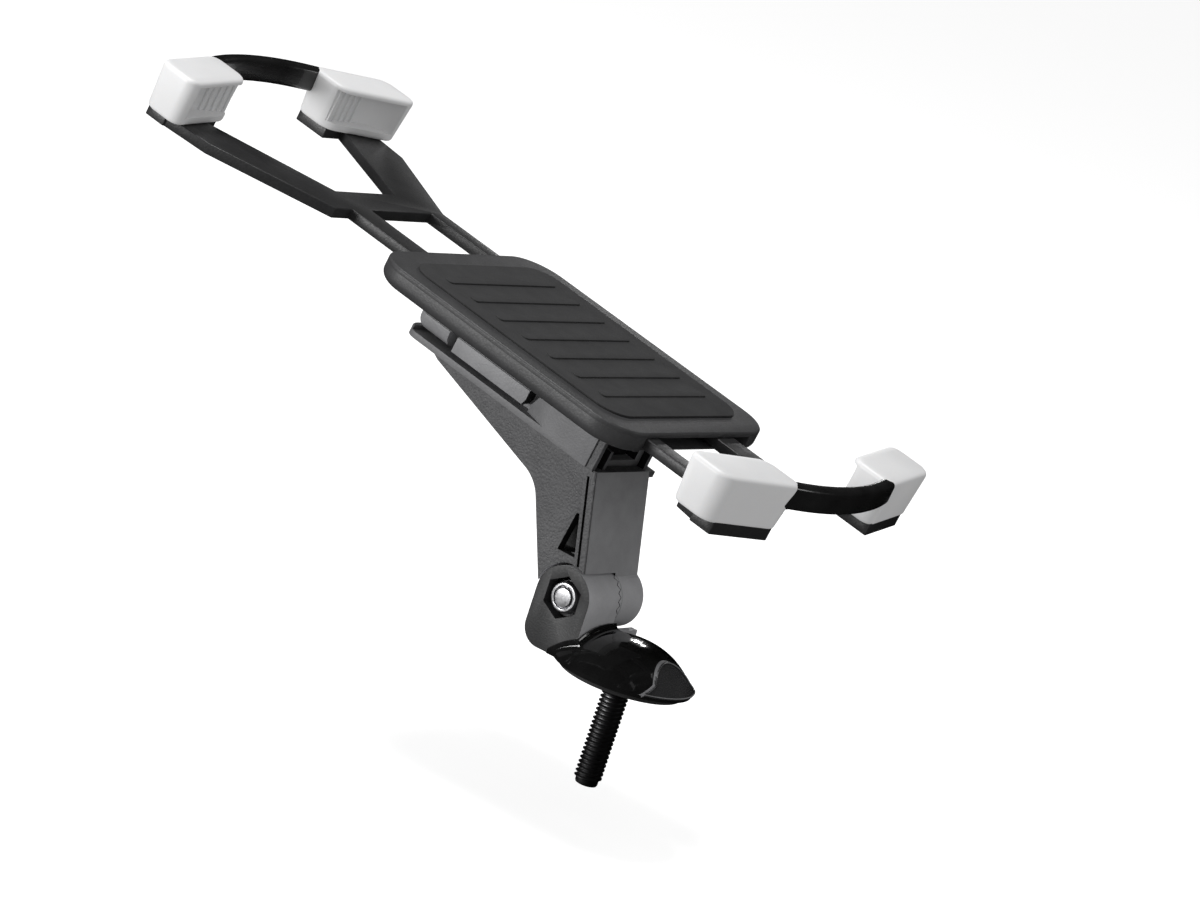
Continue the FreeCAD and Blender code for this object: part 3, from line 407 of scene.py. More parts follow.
class Bench:
    """Mesh operations shared by the sub-assemblies."""

    @staticmethod
    def clear() -> None:
        """Leave edit mode and deselect everything."""
        if bpy.context.object and bpy.context.object.mode != "OBJECT":
            bpy.ops.object.mode_set(mode="OBJECT")
        bpy.ops.object.select_all(action="DESELECT")

    @staticmethod
    def take(piece: bpy.types.Object) -> None:
        """Make one object the only selected and active one."""
        Bench.clear()
        piece.select_set(True)
        bpy.context.view_layer.objects.active = piece

    @staticmethod
    def open(piece: bpy.types.Object, mode: str = "FACE") -> None:
        """Take a piece into edit mode with nothing selected.

        Args:
            piece: a mesh object.
            mode: VERT, EDGE or FACE.
        """
        Bench.take(piece)
        bpy.ops.object.mode_set(mode="EDIT")
        bpy.ops.mesh.select_mode(type=mode)
        bpy.ops.mesh.select_all(action="DESELECT")

    @staticmethod
    def close() -> None:
        """Go back to object mode."""
        bpy.ops.object.mode_set(mode="OBJECT")

    @staticmethod
    def pick_faces(piece: bpy.types.Object, wanted: Callable[[bmesh.types.BMFace], bool]) -> None:
        """Open a piece with the faces selected that a test wants."""
        Bench.open(piece, "FACE")
        mesh = bmesh.from_edit_mesh(piece.data)
        for face in mesh.faces:
            face.select_set(wanted(face))
        bmesh.update_edit_mesh(piece.data)

    @staticmethod
    def pick_edges(piece: bpy.types.Object, wanted: Callable[[Vector, Vector], bool]) -> None:
        """Open a piece with the edges selected whose two ends pass a test."""
        Bench.open(piece, "EDGE")
        mesh = bmesh.from_edit_mesh(piece.data)
        for edge in mesh.edges:
            edge.select_set(wanted(edge.verts[0].co, edge.verts[1].co))
        bmesh.update_edit_mesh(piece.data)

    @staticmethod
    def block(name: str, across: Sequence[float], along: Sequence[float],
              up: Sequence[float]) -> bpy.types.Object:
        """Add a box.

        Args:
            name: its name.
            across: low and high x.
            along: low and high y.
            up: low and high z.

        Returns:
            The box, with its size and place in its mesh.
        """
        spans = (across, along, up)
        middle = [(low + high) / 2 for low, high in spans]
        Bench.clear()
        bpy.ops.mesh.primitive_cube_add(size=1, location=middle)
        piece = bpy.context.object
        piece.name = name
        piece.scale = [high - low for low, high in spans]
        bpy.ops.object.transform_apply(location=True, rotation=True, scale=True)
        return piece

    @staticmethod
    def apply(piece: bpy.types.Object, modifier: bpy.types.Modifier) -> None:
        """Apply one modifier."""
        Bench.take(piece)
        bpy.ops.object.modifier_apply(modifier=modifier.name)

    @staticmethod
    def carve(piece: bpy.types.Object, tool: bpy.types.Object) -> None:
        """Cut a piece by a closed mesh and throw that mesh away."""
        boolean = piece.modifiers.new("carve", "BOOLEAN")
        boolean.operation = "DIFFERENCE"
        boolean.solver = "EXACT"
        boolean.object = tool
        Bench.apply(piece, boolean)
        bpy.data.objects.remove(tool, do_unlink=True)

    @staticmethod
    def round_edges(piece: bpy.types.Object, width: float, segments: int = 3, angle: float = 32.0) -> None:
        """Bevel every edge sharper than an angle.

        Args:
            piece: a mesh object.
            width: the bevel's width in the mesh's own units.
            segments: facets across it.
            angle: edges that turn less than this many degrees are left.
        """
        bevel = piece.modifiers.new("edges", "BEVEL")
        bevel.width = width
        bevel.segments = segments
        bevel.limit_method = "ANGLE"
        bevel.angle_limit = math.radians(angle)
        bevel.use_clamp_overlap = True
        bevel.loop_slide = False
        Bench.apply(piece, bevel)

    @staticmethod
    def smooth(piece: bpy.types.Object, angle: float = 38.0) -> None:
        """Shade a piece smooth, with edges sharper than an angle kept."""
        Bench.take(piece)
        bpy.ops.object.shade_smooth_by_angle(angle=math.radians(angle))

    @staticmethod
    def outward(piece: bpy.types.Object) -> None:
        """Merge doubles and turn every face outwards."""
        Bench.open(piece, "VERT")
        bpy.ops.mesh.select_all(action="SELECT")
        bpy.ops.mesh.remove_doubles(threshold=0.0001)
        bpy.ops.mesh.normals_make_consistent(inside=False)
        Bench.close()

    @staticmethod
    def merge_in(piece: bpy.types.Object, others: Sequence[bpy.types.Object]) -> None:
        """Join other meshes to a piece as loose shells."""
        Bench.take(piece)
        for other in others:
            other.select_set(True)
        bpy.ops.object.join()

    @staticmethod
    def place(piece: bpy.types.Object, matrix: Matrix) -> None:
        """Put a piece modelled elsewhere where it belongs, with its place in its mesh.

        Args:
            piece: a mesh object at the origin.
            matrix: from the mesh's own axes to the mount's frame, in metres.
        """
        Bench.take(piece)
        piece.matrix_world = matrix
        bpy.ops.object.transform_apply(location=True, rotation=True, scale=True)
        if matrix.determinant() < 0:
            Bench.open(piece)
            bpy.ops.mesh.select_all(action="SELECT")
            bpy.ops.mesh.normals_make_consistent(inside=False)
            Bench.close()

    @staticmethod
    def recess(piece: bpy.types.Object, reach: float, spine_half: float = 0.0) -> Chooser:
        """Make a test for faces that look at another face of the same piece.

        Args:
            piece: the mesh.
            reach: how far away the other face may be, in millimetres.
            spine_half: faces square to X that are nearer the middle than this also count.

        Returns:
            The test on one face.
        """
        tree = BVHTree.FromPolygons([v.co for v in piece.data.vertices],
                                    [face.vertices[:] for face in piece.data.polygons])

        def sunk(face: bpy.types.MeshPolygon) -> bool:
            """True for a face inside the piece's outline."""
            if abs(face.normal.x) > 0.99 and abs(face.center.x) < spine_half * MM:
                return True
            start = face.center + face.normal * 0.05 * MM
            return tree.ray_cast(start, face.normal, reach * MM)[0] is not None

        return sunk

    @staticmethod
    def twin(piece: bpy.types.Object, name: str) -> bpy.types.Object:
        """Copy a piece with a mesh of its own."""
        copy = piece.copy()
        copy.data = piece.data.copy()
        copy.name = name
        bpy.context.scene.collection.objects.link(copy)
        return copy

    @staticmethod
    def copy_of(node: str, name: str, flatness: float = 0.3) -> bpy.types.Object:
        """A merged copy of a CAD node's mesh, to refine.

        Args:
            node: the CAD node.
            name: the copy's name.
            flatness: faces that turn less than this many degrees are joined up.

        Returns:
            The new object.
        """
        mesh = frame["nodes"][node].data.copy()
        mesh.materials.clear()
        piece = bpy.data.objects.new(name, mesh)
        bpy.context.scene.collection.objects.link(piece)
        Bench.take(piece)
        if mesh.has_custom_normals:
            bpy.ops.mesh.customdata_custom_splitnormals_clear()
        Bench.open(piece)
        bpy.ops.mesh.select_all(action="SELECT")
        bpy.ops.mesh.remove_doubles(threshold=0.000002)
        if flatness:
            bpy.ops.mesh.dissolve_limited(angle_limit=math.radians(flatness), delimit={"NORMAL"})
        Bench.close()
        return piece


@dataclass(frozen=True)
class HingeAxis:
    """The tilt hinge's axis, which runs along X, and where its teeth are, in millimetres."""

    y: float
    z: float
    teeth_in: float = 2.7
    teeth_out: float = 7.2
    split: float = 1.5
    reach: float = 1.4
    flank_slope: float = 0.25

    @classmethod
    def from_frame(cls) -> "HingeAxis":
        """Read the axis from the tilt joint."""
        tilt = next(row for row in frame["record"]["behaviour"]["joints"] if row["name"] == "arm_tilt")
        return cls(tilt["pos_m"][1] / MM, tilt["pos_m"][2] / MM)

    def off(self, point: Vector) -> float:
        """How far a point of the mount's frame is from the axis, in millimetres."""
        return math.hypot(point.y / MM - self.y, point.z / MM - self.z)

    def on_tooth(self, face: bpy.types.MeshPolygon) -> bool:
        """True for the flanks and the edges of the teeth where the two halves meet, where painted shade goes.
        """
        return (self.teeth_in < self.off(face.center) < self.teeth_out
                and abs(face.center.x / MM - self.split) < self.reach
                and abs(face.normal.x) > self.flank_slope)


@dataclass(frozen=True)
class DockAxes:
    """The dock's own axes, in millimetres from the pinion: X, u along the tray, w square to it."""

    place: Matrix

    @classmethod
    def from_frame(cls) -> "DockAxes":
        """Read the axes from the joints."""
        joints = {row["name"]: row for row in frame["record"]["behaviour"]["joints"]}
        along = Vector(joints["cradle_slide"]["axis"]).normalized()
        up = Vector(joints["pinion_turn"]["axis"]).normalized()
        turn = Matrix((along.cross(up), along, up)).transposed().to_4x4()
        start = Matrix.Translation(joints["pinion_turn"]["pos_m"])
        return cls(start @ turn @ Matrix.Scale(MM, 4))

    def box(self, node: str) -> tuple[Vector, Vector]:
        """A node's lowest and highest corners along these axes, in millimetres."""
        back = self.place.inverted()
        points = [back @ vertex.co for vertex in frame["nodes"][node].data.vertices]
        low = Vector([min(point[axis] for point in points) for axis in range(3)])
        high = Vector([max(point[axis] for point in points) for axis in range(3)])
        return low, high


@dataclass
class SubAssembly:
    """Pieces that ride on one body."""

    paints: Paintbox
    dock: DockAxes
    hinge: HingeAxis
    body: Body

    def settle(self, piece: bpy.types.Object, finish: Finish,
               replaced: Iterable[str] = ()) -> bpy.types.Object:
        """Dress a finished piece, put it on its body and report it.

        Args:
            piece: the finished mesh.
            finish: its finish.
            replaced: the CAD nodes that it stands for.

        Returns:
            The same piece.
        """
        self.paints.dress(piece, finish)
        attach(piece, self.body.value)
        if replaced:
            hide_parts(*replaced)
        LOG.info("%s on %s: %d faces", piece.name, self.body.value, len(piece.data.polygons))
        return piece

    def refine(self, node: str, finish: Finish, width: float = 0.25, segments: int = 3) -> bpy.types.Object:
        """Replace a node by a copy with softly rounded edges.

        Args:
            node: the CAD node.
            finish: its finish.
            width: the edge rounding in millimetres.
            segments: facets across each edge.

        Returns:
            The finished piece.
        """
        piece = Bench.copy_of(node, node + "_shown")
        Bench.round_edges(piece, width * MM, segments)
        Bench.smooth(piece)
        return self.settle(piece, finish, (node,))

    def keep(self, node: str, finish: Finish) -> None:
        """Give a CAD node a better finish and leave its shape."""
        self.paints.dress(frame["nodes"][node], finish)
        LOG.info("%s kept", node)


# --------------------------------------------------------------------------- cap and hinge


@dataclass
class Cap(SubAssembly):
    """Domed cap, its badge, the steerer's screw and the tilt hinge's hardware."""

    badge_rim: float = 0.45
    badge_depth: float = 0.22
    thread_pitch: float = 1.0
    thread_depth: float = 0.55
    collar_r: float = 3.45
    collar_h: float = 1.6
    barrel_from: float = -8.0
    barrel_foot: float = 3.0
    barrel_in: float = 5.2
    pocket_x: tuple[float, float] = (-10.4, -4.0)
    pocket_r: float = 5.0
    teeth_from: float = 0.85
    teeth_r: float = 6.85
    seam: float = 0.2
    crest_lift: float = 0.2
    skin_facing: float = 0.8
    badge_step: float = 0.12
    tip_chamfer: float = 0.7

    def build(self) -> None:
        """Build the cap's pieces in order."""
        self.base()
        self.dome()
        self.badge()
        self.refine("steerer_washer", Finish.ZINC_STEEL, 0.12)
        self.steerer_bolt()
        self.nut()
        self.refine("nut_locking_ring", Finish.NYLON_RING, 0.1)
        self.refine("pivot_bolt", Finish.ZINC_STEEL, 0.15)
        self.refine("pivot_washer", Finish.ZINC_STEEL, 0.12)

    def base(self) -> None:
        """Cap's body, whose hinge barrel is smoother than its lug and painted lighter for the light from the
        rider's side; its nut pocket and tooth flanks get painted shade.
        """
        base = Bench.copy_of("cap_base", "cap_base_shown")
        Bench.open(base, "VERT")
        mesh = bmesh.from_edit_mesh(base.data)
        for vertex in mesh.verts:
            vertex.select_set(vertex.co.x > self.teeth_from * MM and self.hinge.off(vertex.co) < self.teeth_r)
        bmesh.update_edit_mesh(base.data)
        bpy.ops.transform.translate(value=(-self.seam * MM, 0, 0))
        Bench.close()
        Bench.round_edges(base, 0.3 * MM)
        Bench.smooth(base)
        self.settle(base, Finish.CAP_PLASTIC, ("cap_base",))
        # Painted light: the barrel's wall is painted lighter as lit from the rider's side.
        self.paints.dress_rest(base, Finish.BARREL_SATIN, self.on_barrel)
        # Painted shade: the nut pocket's walls and floor wear the darker, matte nylon finish.
        self.paints.dress_rest(base, Finish.NYLON_RING, self.in_pocket)
        # Painted shade: the tooth flanks at the seam are painted near black.
        self.paints.dress_rest(base, Finish.RECESS_PLASTIC, self.hinge.on_tooth)

    def on_barrel(self, face: bpy.types.MeshPolygon) -> bool:
        """True for the barrel's round wall beside the lug."""
        return (face.center.x > self.barrel_from * MM and face.center.z > self.barrel_foot * MM
                and abs(face.normal.x) < 0.5 and self.hinge.off(face.center) > self.barrel_in)

    def in_pocket(self, face: bpy.types.MeshPolygon) -> bool:
        """True for the walls and the floor of the nut's pocket, which get painted shade."""
        mouth, floor = self.pocket_x
        return mouth * MM < face.center.x < floor * MM and self.hinge.off(face.center) < self.pocket_r

    def dome(self) -> None:
        """Glossy cover with a hair of roundness at its rim and round the lug."""
        dome = Bench.copy_of("dome_cover", "dome_cover_shown", 0)
        Bench.round_edges(dome, 0.14 * MM, 3, 40)
        Bench.smooth(dome, 34)
        self.settle(dome, Finish.GLOSS_BLACK, ("dome_cover",))

    def badge(self) -> None:
        """Blank badge: a raised rim, painted light grey as a painted highlight, round a sunk satin field."""
        badge = Bench.copy_of("badge_plate", "badge_shown", 0.05)
        radius = max(math.hypot(v.co.x, v.co.y) for v in badge.data.vertices)

        def faces_out(face: bmesh.types.BMFace) -> bool:
            """True for the badge's outer skin."""
            spot = face.calc_center_median()
            outward = Vector((spot.x, spot.y, spot.z + self.crest_lift * radius)).normalized()
            return face.normal.dot(outward) > self.skin_facing

        Bench.pick_faces(badge, faces_out)
        bpy.ops.mesh.inset(thickness=self.badge_rim * MM, depth=0, use_boundary=True, use_even_offset=False)
        bpy.ops.mesh.inset(thickness=self.badge_step * MM, depth=-self.badge_depth * MM,
                           use_even_offset=False)
        Bench.close()
        field = {tuple(face.center) for face in badge.data.polygons if face.select}
        Bench.smooth(badge, 30)
        self.settle(badge, Finish.BADGE_SATIN, ("badge_plate",))
        # Painted highlight: every face outside the sunk field, the raised rim above all, is painted light
        # grey.
        self.paints.dress_rest(badge, Finish.BADGE_EDGE, lambda face: tuple(face.center) not in field)

    def steerer_bolt(self) -> None:
        """M6 screw with a cut thread below its plain neck."""
        low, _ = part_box("steerer_bolt")
        bolt = Bench.copy_of("steerer_bolt", "steerer_bolt_shown")
        mount = next(row for row in frame["record"]["mounts"] if row["name"] == "steerer_screw")
        tip_r = mount["dims"]["r_mm"]
        top_z = mount["pos_m"][2] / MM
        low_z = low[2] / MM + self.tip_chamfer
        root_r = tip_r - self.thread_depth
        Bench.pick_faces(bolt, lambda face: face.calc_center_median().z < top_z * MM + 0.0001)
        bpy.ops.mesh.delete(type="FACE")
        Bench.close()
        Bench.round_edges(bolt, 0.15 * MM)
        pitch = self.thread_pitch
        period = ((root_r, 0), (root_r, 0.12), (tip_r, 0.44), (tip_r, 0.56), (root_r, 0.88), (root_r, 1.0))
        thread = self.screw_thread("thread", [(r, low_z + z * pitch) for r, z in period],
                                   int((top_z - low_z) / pitch), pitch)
        core = self.rod("screw_core", root_r + 0.02, low_z - 0.65, top_z + 0.4)
        for part in (thread, core):
            Bench.place(part, Matrix.Scale(MM, 4))
        Bench.merge_in(bolt, (thread, core))
        Bench.smooth(bolt, 40)
        self.settle(bolt, Finish.DARK_STEEL, ("steerer_bolt",))

    @staticmethod
    def rod(name: str, radius: float, low: float, high: float) -> bpy.types.Object:
        """A closed upright rod with chamfered ends, in millimetres."""
        Bench.clear()
        bpy.ops.mesh.primitive_cylinder_add(vertices=48, radius=radius, depth=high - low,
                                            location=(0, 0, (low + high) / 2))
        piece = bpy.context.object
        piece.name = name
        bpy.ops.object.transform_apply(location=True, rotation=True, scale=True)
        Bench.round_edges(piece, 0.5, 2, 60)
        return piece

    @staticmethod
    def screw_thread(name: str, period: Sequence[tuple[float, float]], turns: int,
                     pitch: float) -> bpy.types.Object:
        """Wind one pitch of a thread's outline into a screw.

        Args:
            name: the piece's name.
            period: radius and height of each point of the outline.
            turns: whole turns.
            pitch: rise of one turn.

        Returns:
            The threaded surface, with both ends filled.
        """
        Bench.clear()
        bpy.ops.mesh.primitive_circle_add(vertices=len(period), fill_type="NOTHING")
        piece = bpy.context.object
        piece.name = name
        for vertex, (radius, height) in zip(piece.data.vertices, period):
            vertex.co = (radius, 0, height)
        Bench.open(piece, "EDGE")
        mesh = bmesh.from_edit_mesh(piece.data)
        mesh.verts.ensure_lookup_table()
        last = mesh.edges.get((mesh.verts[0], mesh.verts[len(period) - 1]))
        last.select_set(True)
        bpy.ops.mesh.delete(type="EDGE")
        Bench.close()
        screw = piece.modifiers.new("thread", "SCREW")
        screw.axis = "Z"
        screw.angle = 2 * math.pi
        screw.screw_offset = pitch
        screw.iterations = turns
        screw.steps = 36
        screw.render_steps = 36
        Bench.apply(piece, screw)
        Bench.outward(piece)
        Bench.open(piece, "EDGE")
        bpy.ops.mesh.select_non_manifold()
        bpy.ops.mesh.fill_holes(sides=0)
        bpy.ops.mesh.select_all(action="SELECT")
        bpy.ops.mesh.normals_make_consistent(inside=False)
        Bench.close()
        return piece

    def nut(self) -> None:
        """Lock nut: a bright collar on a hexagon painted dark as the shade deep in its pocket."""
        nut = Bench.copy_of("lock_nut", "lock_nut_shown")
        Bench.round_edges(nut, 0.12 * MM)
        Bench.smooth(nut)
        self.settle(nut, Finish.ZINC_STEEL, ("lock_nut",))
        low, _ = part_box("lock_nut")

        def on_collar(face: bpy.types.MeshPolygon) -> bool:
            """True for the collar's end and side."""
            return (self.hinge.off(face.center) < self.collar_r
                    and face.center.x < low[0] + self.collar_h * MM)

        # Painted shade: every face but the collar's is dressed in dark steel for the shade in the pocket.
        self.paints.dress_rest(nut, Finish.DARK_STEEL, lambda face: not on_collar(face))


# --------------------------------------------------------------------------- arm and dock


@dataclass
class Arm(SubAssembly):
    """Arm bracket with the dock's tray screwed on."""

    knuckle_top: float = 19.0
    web_reach: float = 24.0
    spine_half: float = 1.6
    channel_reach: float = 26.0

    def build(self) -> None:
        """Build the arm's pieces in order."""
        self.bracket()
        tray = self.refine("dock_tray", Finish.ARM_PLASTIC, 0.28)
        self.paints.dress(tray, Finish.TRAY_PLASTIC)
        # Painted shade: faces inside the tray's channels, which look at another face, are painted near black.
        self.paints.dress_rest(tray, Finish.RECESS_PLASTIC, Bench.recess(tray, self.channel_reach))
        self.refine("dock_screws", Finish.DARK_STEEL, 0.08, 2)

    def bracket(self) -> None:
        """The bracket, with painted shade on its tooth flanks and in its window and web, its knuckle painted
        lighter as lit, and a smoother rear plate painted lighter as lit.
        """
        bracket = Bench.copy_of("arm_bracket", "arm_bracket_shown")
        Bench.round_edges(bracket, 0.3 * MM)
        Bench.smooth(bracket)
        self.settle(bracket, Finish.ARM_PLASTIC, ("arm_bracket",))
        # Partly painted light: the rear plate is smoother satin and painted lighter as lit from the rider's
        # side.
        self.paints.dress_rest(bracket, Finish.PLATE_SATIN, self.on_rear_plate)
        # Painted light: the knuckle's round wall is painted lighter as lit.
        self.paints.dress_rest(bracket, Finish.BARREL_SATIN, self.on_knuckle)
        # Painted shade: the tooth flanks at the seam are painted near black.
        self.paints.dress_rest(bracket, Finish.RECESS_PLASTIC, self.hinge.on_tooth)
        # Painted shade: faces in the window and web above the knuckle, which look at another face, are
        # painted near black.
        sunk = Bench.recess(bracket, self.web_reach, self.spine_half)
        self.paints.dress_rest(bracket, Finish.RECESS_PLASTIC,
                               lambda face: face.center.z > self.knuckle_top * MM and sunk(face))

    def on_knuckle(self, face: bpy.types.MeshPolygon) -> bool:
        """True for the knuckle's round wall."""
        return face.center.z < self.knuckle_top * MM and abs(face.normal.x) < 0.5

    @staticmethod
    def on_rear_plate(face: bpy.types.MeshPolygon) -> bool:
        """True for the rear plate's outer face."""
        return face.normal.y < -0.9 and face.normal.z > 0.1 and abs(face.normal.x) < 0.05


# --------------------------------------------------------------------------- cradle


@dataclass
class Cradle(SubAssembly):
    """Foot that slides in the dock, with the shell, its cover and the pad."""

    def build(self) -> None:
        """Build the cradle's pieces in order."""
        foot = self.refine("cradle_foot", Finish.FOOT_PLASTIC, 0.35)
        along = self.dock.place.col[1].to_3d().normalized()
        # Painted shade: the foot's faces that look back along the tray are painted near black.
        self.paints.dress_rest(foot, Finish.RECESS_PLASTIC, lambda face: face.normal.dot(along) < -0.9)
        self.refine("foot_screws", Finish.DARK_STEEL, 0.06, 2)
        self.refine("lever_pin", Finish.ZINC_STEEL, 0.08, 2)
        self.keep("lever_spring", Finish.SPRING_STEEL)
        self.refine("cradle_shell", Finish.CRADLE_PLASTIC, 0.25)
        self.refine("cradle_cover", Finish.CRADLE_PLASTIC, 0.2)
        self.refine("shell_screws", Finish.DARK_STEEL, 0.06, 2)
        self.refine("rubber_pad", Finish.PAD_RUBBER, 0.3)
        self.refine("pinion_pin", Finish.ZINC_STEEL, 0.08, 2)


@dataclass
class Lever(SubAssembly):
    """Release lever at the front of the foot."""

    def build(self) -> None:
        """Build the lever."""
        self.refine("release_lever", Finish.FOOT_PLASTIC, 0.35)


@dataclass
class Gear(SubAssembly):
    """Pinion and its spiral spring, hidden in the shell."""

    def build(self) -> None:
        """Keep both shapes and finish them."""
        self.keep("pinion", Finish.GEAR_ACETAL)
        self.keep("closing_spring", Finish.SPRING_STEEL)


# --------------------------------------------------------------------------- jaws


@dataclass
class GripMould:
    """Moulds the rubber corner boot once: x inwards, y away from the phone, z up, in millimetres."""

    length: float = 23.7
    lip: float = 6.2
    back: float = 5.2
    slant: float = 4.6
    height: float = 10.9
    foot_shrink: tuple[float, float, float] = (0.94, 0.90, 1.0)
    corner_r: float = 3.2
    top_r: float = 1.1
    foot_r: float = 0.9
    crown: float = 0.12
    crown_in: float = 0.7
    mouth_low: float = 1.95
    mouth_high: float = 9.65
    mouth_side: float = 2.15
    mouth_corner_r: float = 10.0
    ribs: int = 5
    rib_from: float = 3.2
    rib_step: float = 2.1
    rib_w: float = 0.8
    rib_proud: float = 0.3
    rib_bite: float = 0.3

    def cast(self) -> bpy.types.Object:
        """Return one boot, at the origin and in millimetres."""
        boot = self.body()
        Bench.carve(boot, self.phone_room())
        Bench.round_edges(boot, 0.45, 3, 40)
        Bench.merge_in(boot, self.rib_row())
        Bench.smooth(boot, 40)
        return boot

    def body(self) -> bpy.types.Object:
        """Slanted, tapered block with soft corners and a crowned top."""
        boot = Bench.block("grip_mould", (0, self.length), (-self.lip, self.back), (0, self.height))
        Bench.pick_faces(boot, lambda face: face.normal.x > 0.9)
        bpy.ops.transform.translate(value=(0, self.slant, 0))
        Bench.pick_faces(boot, lambda face: face.normal.z < -0.9)
        middle = (self.length / 2, (self.back - self.lip + self.slant) / 2, 0)
        bpy.ops.transform.resize(value=self.foot_shrink, center_override=middle)
        Bench.pick_edges(boot, lambda a, b: abs(a.z - b.z) > self.height / 2)
        bpy.ops.mesh.bevel(offset=self.corner_r, segments=8, affect="EDGES")
        Bench.pick_edges(boot, lambda a, b: min(a.z, b.z) > self.height - 0.01)
        bpy.ops.mesh.bevel(offset=self.top_r, segments=5, affect="EDGES")
        Bench.pick_edges(boot, lambda a, b: max(a.z, b.z) < 0.01)
        bpy.ops.mesh.bevel(offset=self.foot_r, segments=4, affect="EDGES")
        Bench.pick_faces(boot, lambda face: face.normal.z > 0.9999)
        bpy.ops.mesh.inset(thickness=self.crown_in, depth=self.crown)
        Bench.close()
        return boot

    def phone_room(self) -> bpy.types.Object:
        """The space that the phone's corner fills."""
        room = Bench.block("phone_room", (self.mouth_side, 3 * self.length), (-3 * self.lip, 0.15),
                           (self.mouth_low, self.mouth_high))
        Bench.pick_edges(room, lambda a, b: max(a.x, b.x) < self.length and min(a.y, b.y) > -self.lip)
        bpy.ops.mesh.bevel(offset=self.mouth_corner_r, segments=16, affect="EDGES")
        Bench.close()
        return room

    def rib_row(self) -> list[bpy.types.Object]:
        """Upright ribs on the mouth's back wall, which hold the phone's edge."""
        row = []
        for k in range(self.ribs):
            x = self.mouth_corner_r + self.rib_from + self.rib_step * k
            if x > self.length - 2 * self.rib_w:
                break
            rib = Bench.block("rib", (x, x + self.rib_w), (-self.rib_proud, 1.2),
                              (self.mouth_low - self.rib_bite, self.mouth_high + self.rib_bite))
            Bench.round_edges(rib, 0.25, 2)
            row.append(rib)
        return row


@dataclass
class Jaw(SubAssembly):
    """One sliding jaw: rack frame, bowed bar and two corner boots."""

    mould: GripMould
    end: str
    bow: float = 2.4
    bow_half: float = 17.5
    bar_thick: float = 3.2
    bar_r: float = 1.05

    @property
    def away(self) -> float:
        """+1 for the front jaw, whose boots face forward, and -1 for the rear one."""
        return 1.0 if self.end == "front" else -1.0

    def build(self, boot: bpy.types.Object) -> None:
        """Build the jaw.

        Args:
            boot: the boot from the mould.
        """
        self.refine(self.end + "_jaw", Finish.JAW_PLASTIC, 0.3)
        self.bar()
        for side, inward in (("left", 1.0), ("right", -1.0)):
            self.grip(boot, side, inward)

    def grip(self, boot: bpy.types.Object, side: str, inward: float) -> None:
        """Fit a boot on one corner.

        Args:
            boot: the boot from the mould.
            side: left or right.
            inward: +1 where the boot's inner end faces +X.
        """
        node = f"{self.end}_{side}_grip"
        low, high = self.dock.box(node)
        grip = Bench.twin(boot, node + "_shown")
        corner_x = low.x if inward > 0 else high.x
        tip = high.y if self.away > 0 else low.y
        phone_end = tip - self.away * (self.mould.back + self.mould.slant)
        spread = Matrix.Diagonal((inward, self.away, 1.0, 1.0))
        Bench.place(grip, self.dock.place @ Matrix.Translation((corner_x, phone_end, low.z)) @ spread)
        Bench.smooth(grip, 40)
        self.settle(grip, Finish.GRIP_RUBBER, (node,))

    def bar(self) -> None:
        """Bowed bar: a rounded section spun about the bow's centre."""
        node = self.end + "_bar"
        low, high = self.dock.box(node)
        half = (high.x - low.x) / 2
        outer_face = high.y if self.away > 0 else low.y
        centre_r = (self.bow_half ** 2 + self.bow ** 2) / (2 * self.bow) + self.bar_thick
        Bench.clear()
        middle = (0, -self.bar_thick / 2, (low.z + high.z) / 2)
        bpy.ops.mesh.primitive_plane_add(size=1, location=middle, rotation=(0, math.radians(90), 0))
        bar = bpy.context.object
        bar.name = node + "_shown"
        bar.scale = (high.z - low.z, self.bar_thick, 1)
        bpy.ops.object.transform_apply(location=True, rotation=True, scale=True)
        Bench.open(bar, "VERT")
        bpy.ops.mesh.select_all(action="SELECT")
        bpy.ops.mesh.bevel(offset=self.bar_r, segments=5, affect="VERTICES")
        bpy.ops.mesh.select_all(action="SELECT")
        bpy.ops.mesh.delete(type="ONLY_FACE")
        bpy.ops.mesh.select_all(action="SELECT")
        reach = math.asin(half / centre_r)
        bpy.ops.mesh.spin(steps=28, angle=reach, center=(0, -centre_r, 0), axis=(0, 0, 1))
        Bench.close()
        mirror = bar.modifiers.new("other_half", "MIRROR")
        mirror.use_axis = (True, False, False)
        mirror.merge_threshold = 0.001
        Bench.apply(bar, mirror)
        Bench.open(bar, "EDGE")
        bpy.ops.mesh.select_non_manifold()
        bpy.ops.mesh.fill_holes(sides=0)
        Bench.close()
        Bench.outward(bar)
        spread = Matrix.Diagonal((1.0, self.away, 1.0, 1.0))
        Bench.place(bar, self.dock.place @ Matrix.Translation((0, outer_face, 0)) @ spread)
        Bench.smooth(bar, 35)
        self.settle(bar, Finish.GLOSS_BLACK, (node,))
        self.paints.dress(bar, Finish.BAR_SATIN)


# --------------------------------------------------------------------------- studio


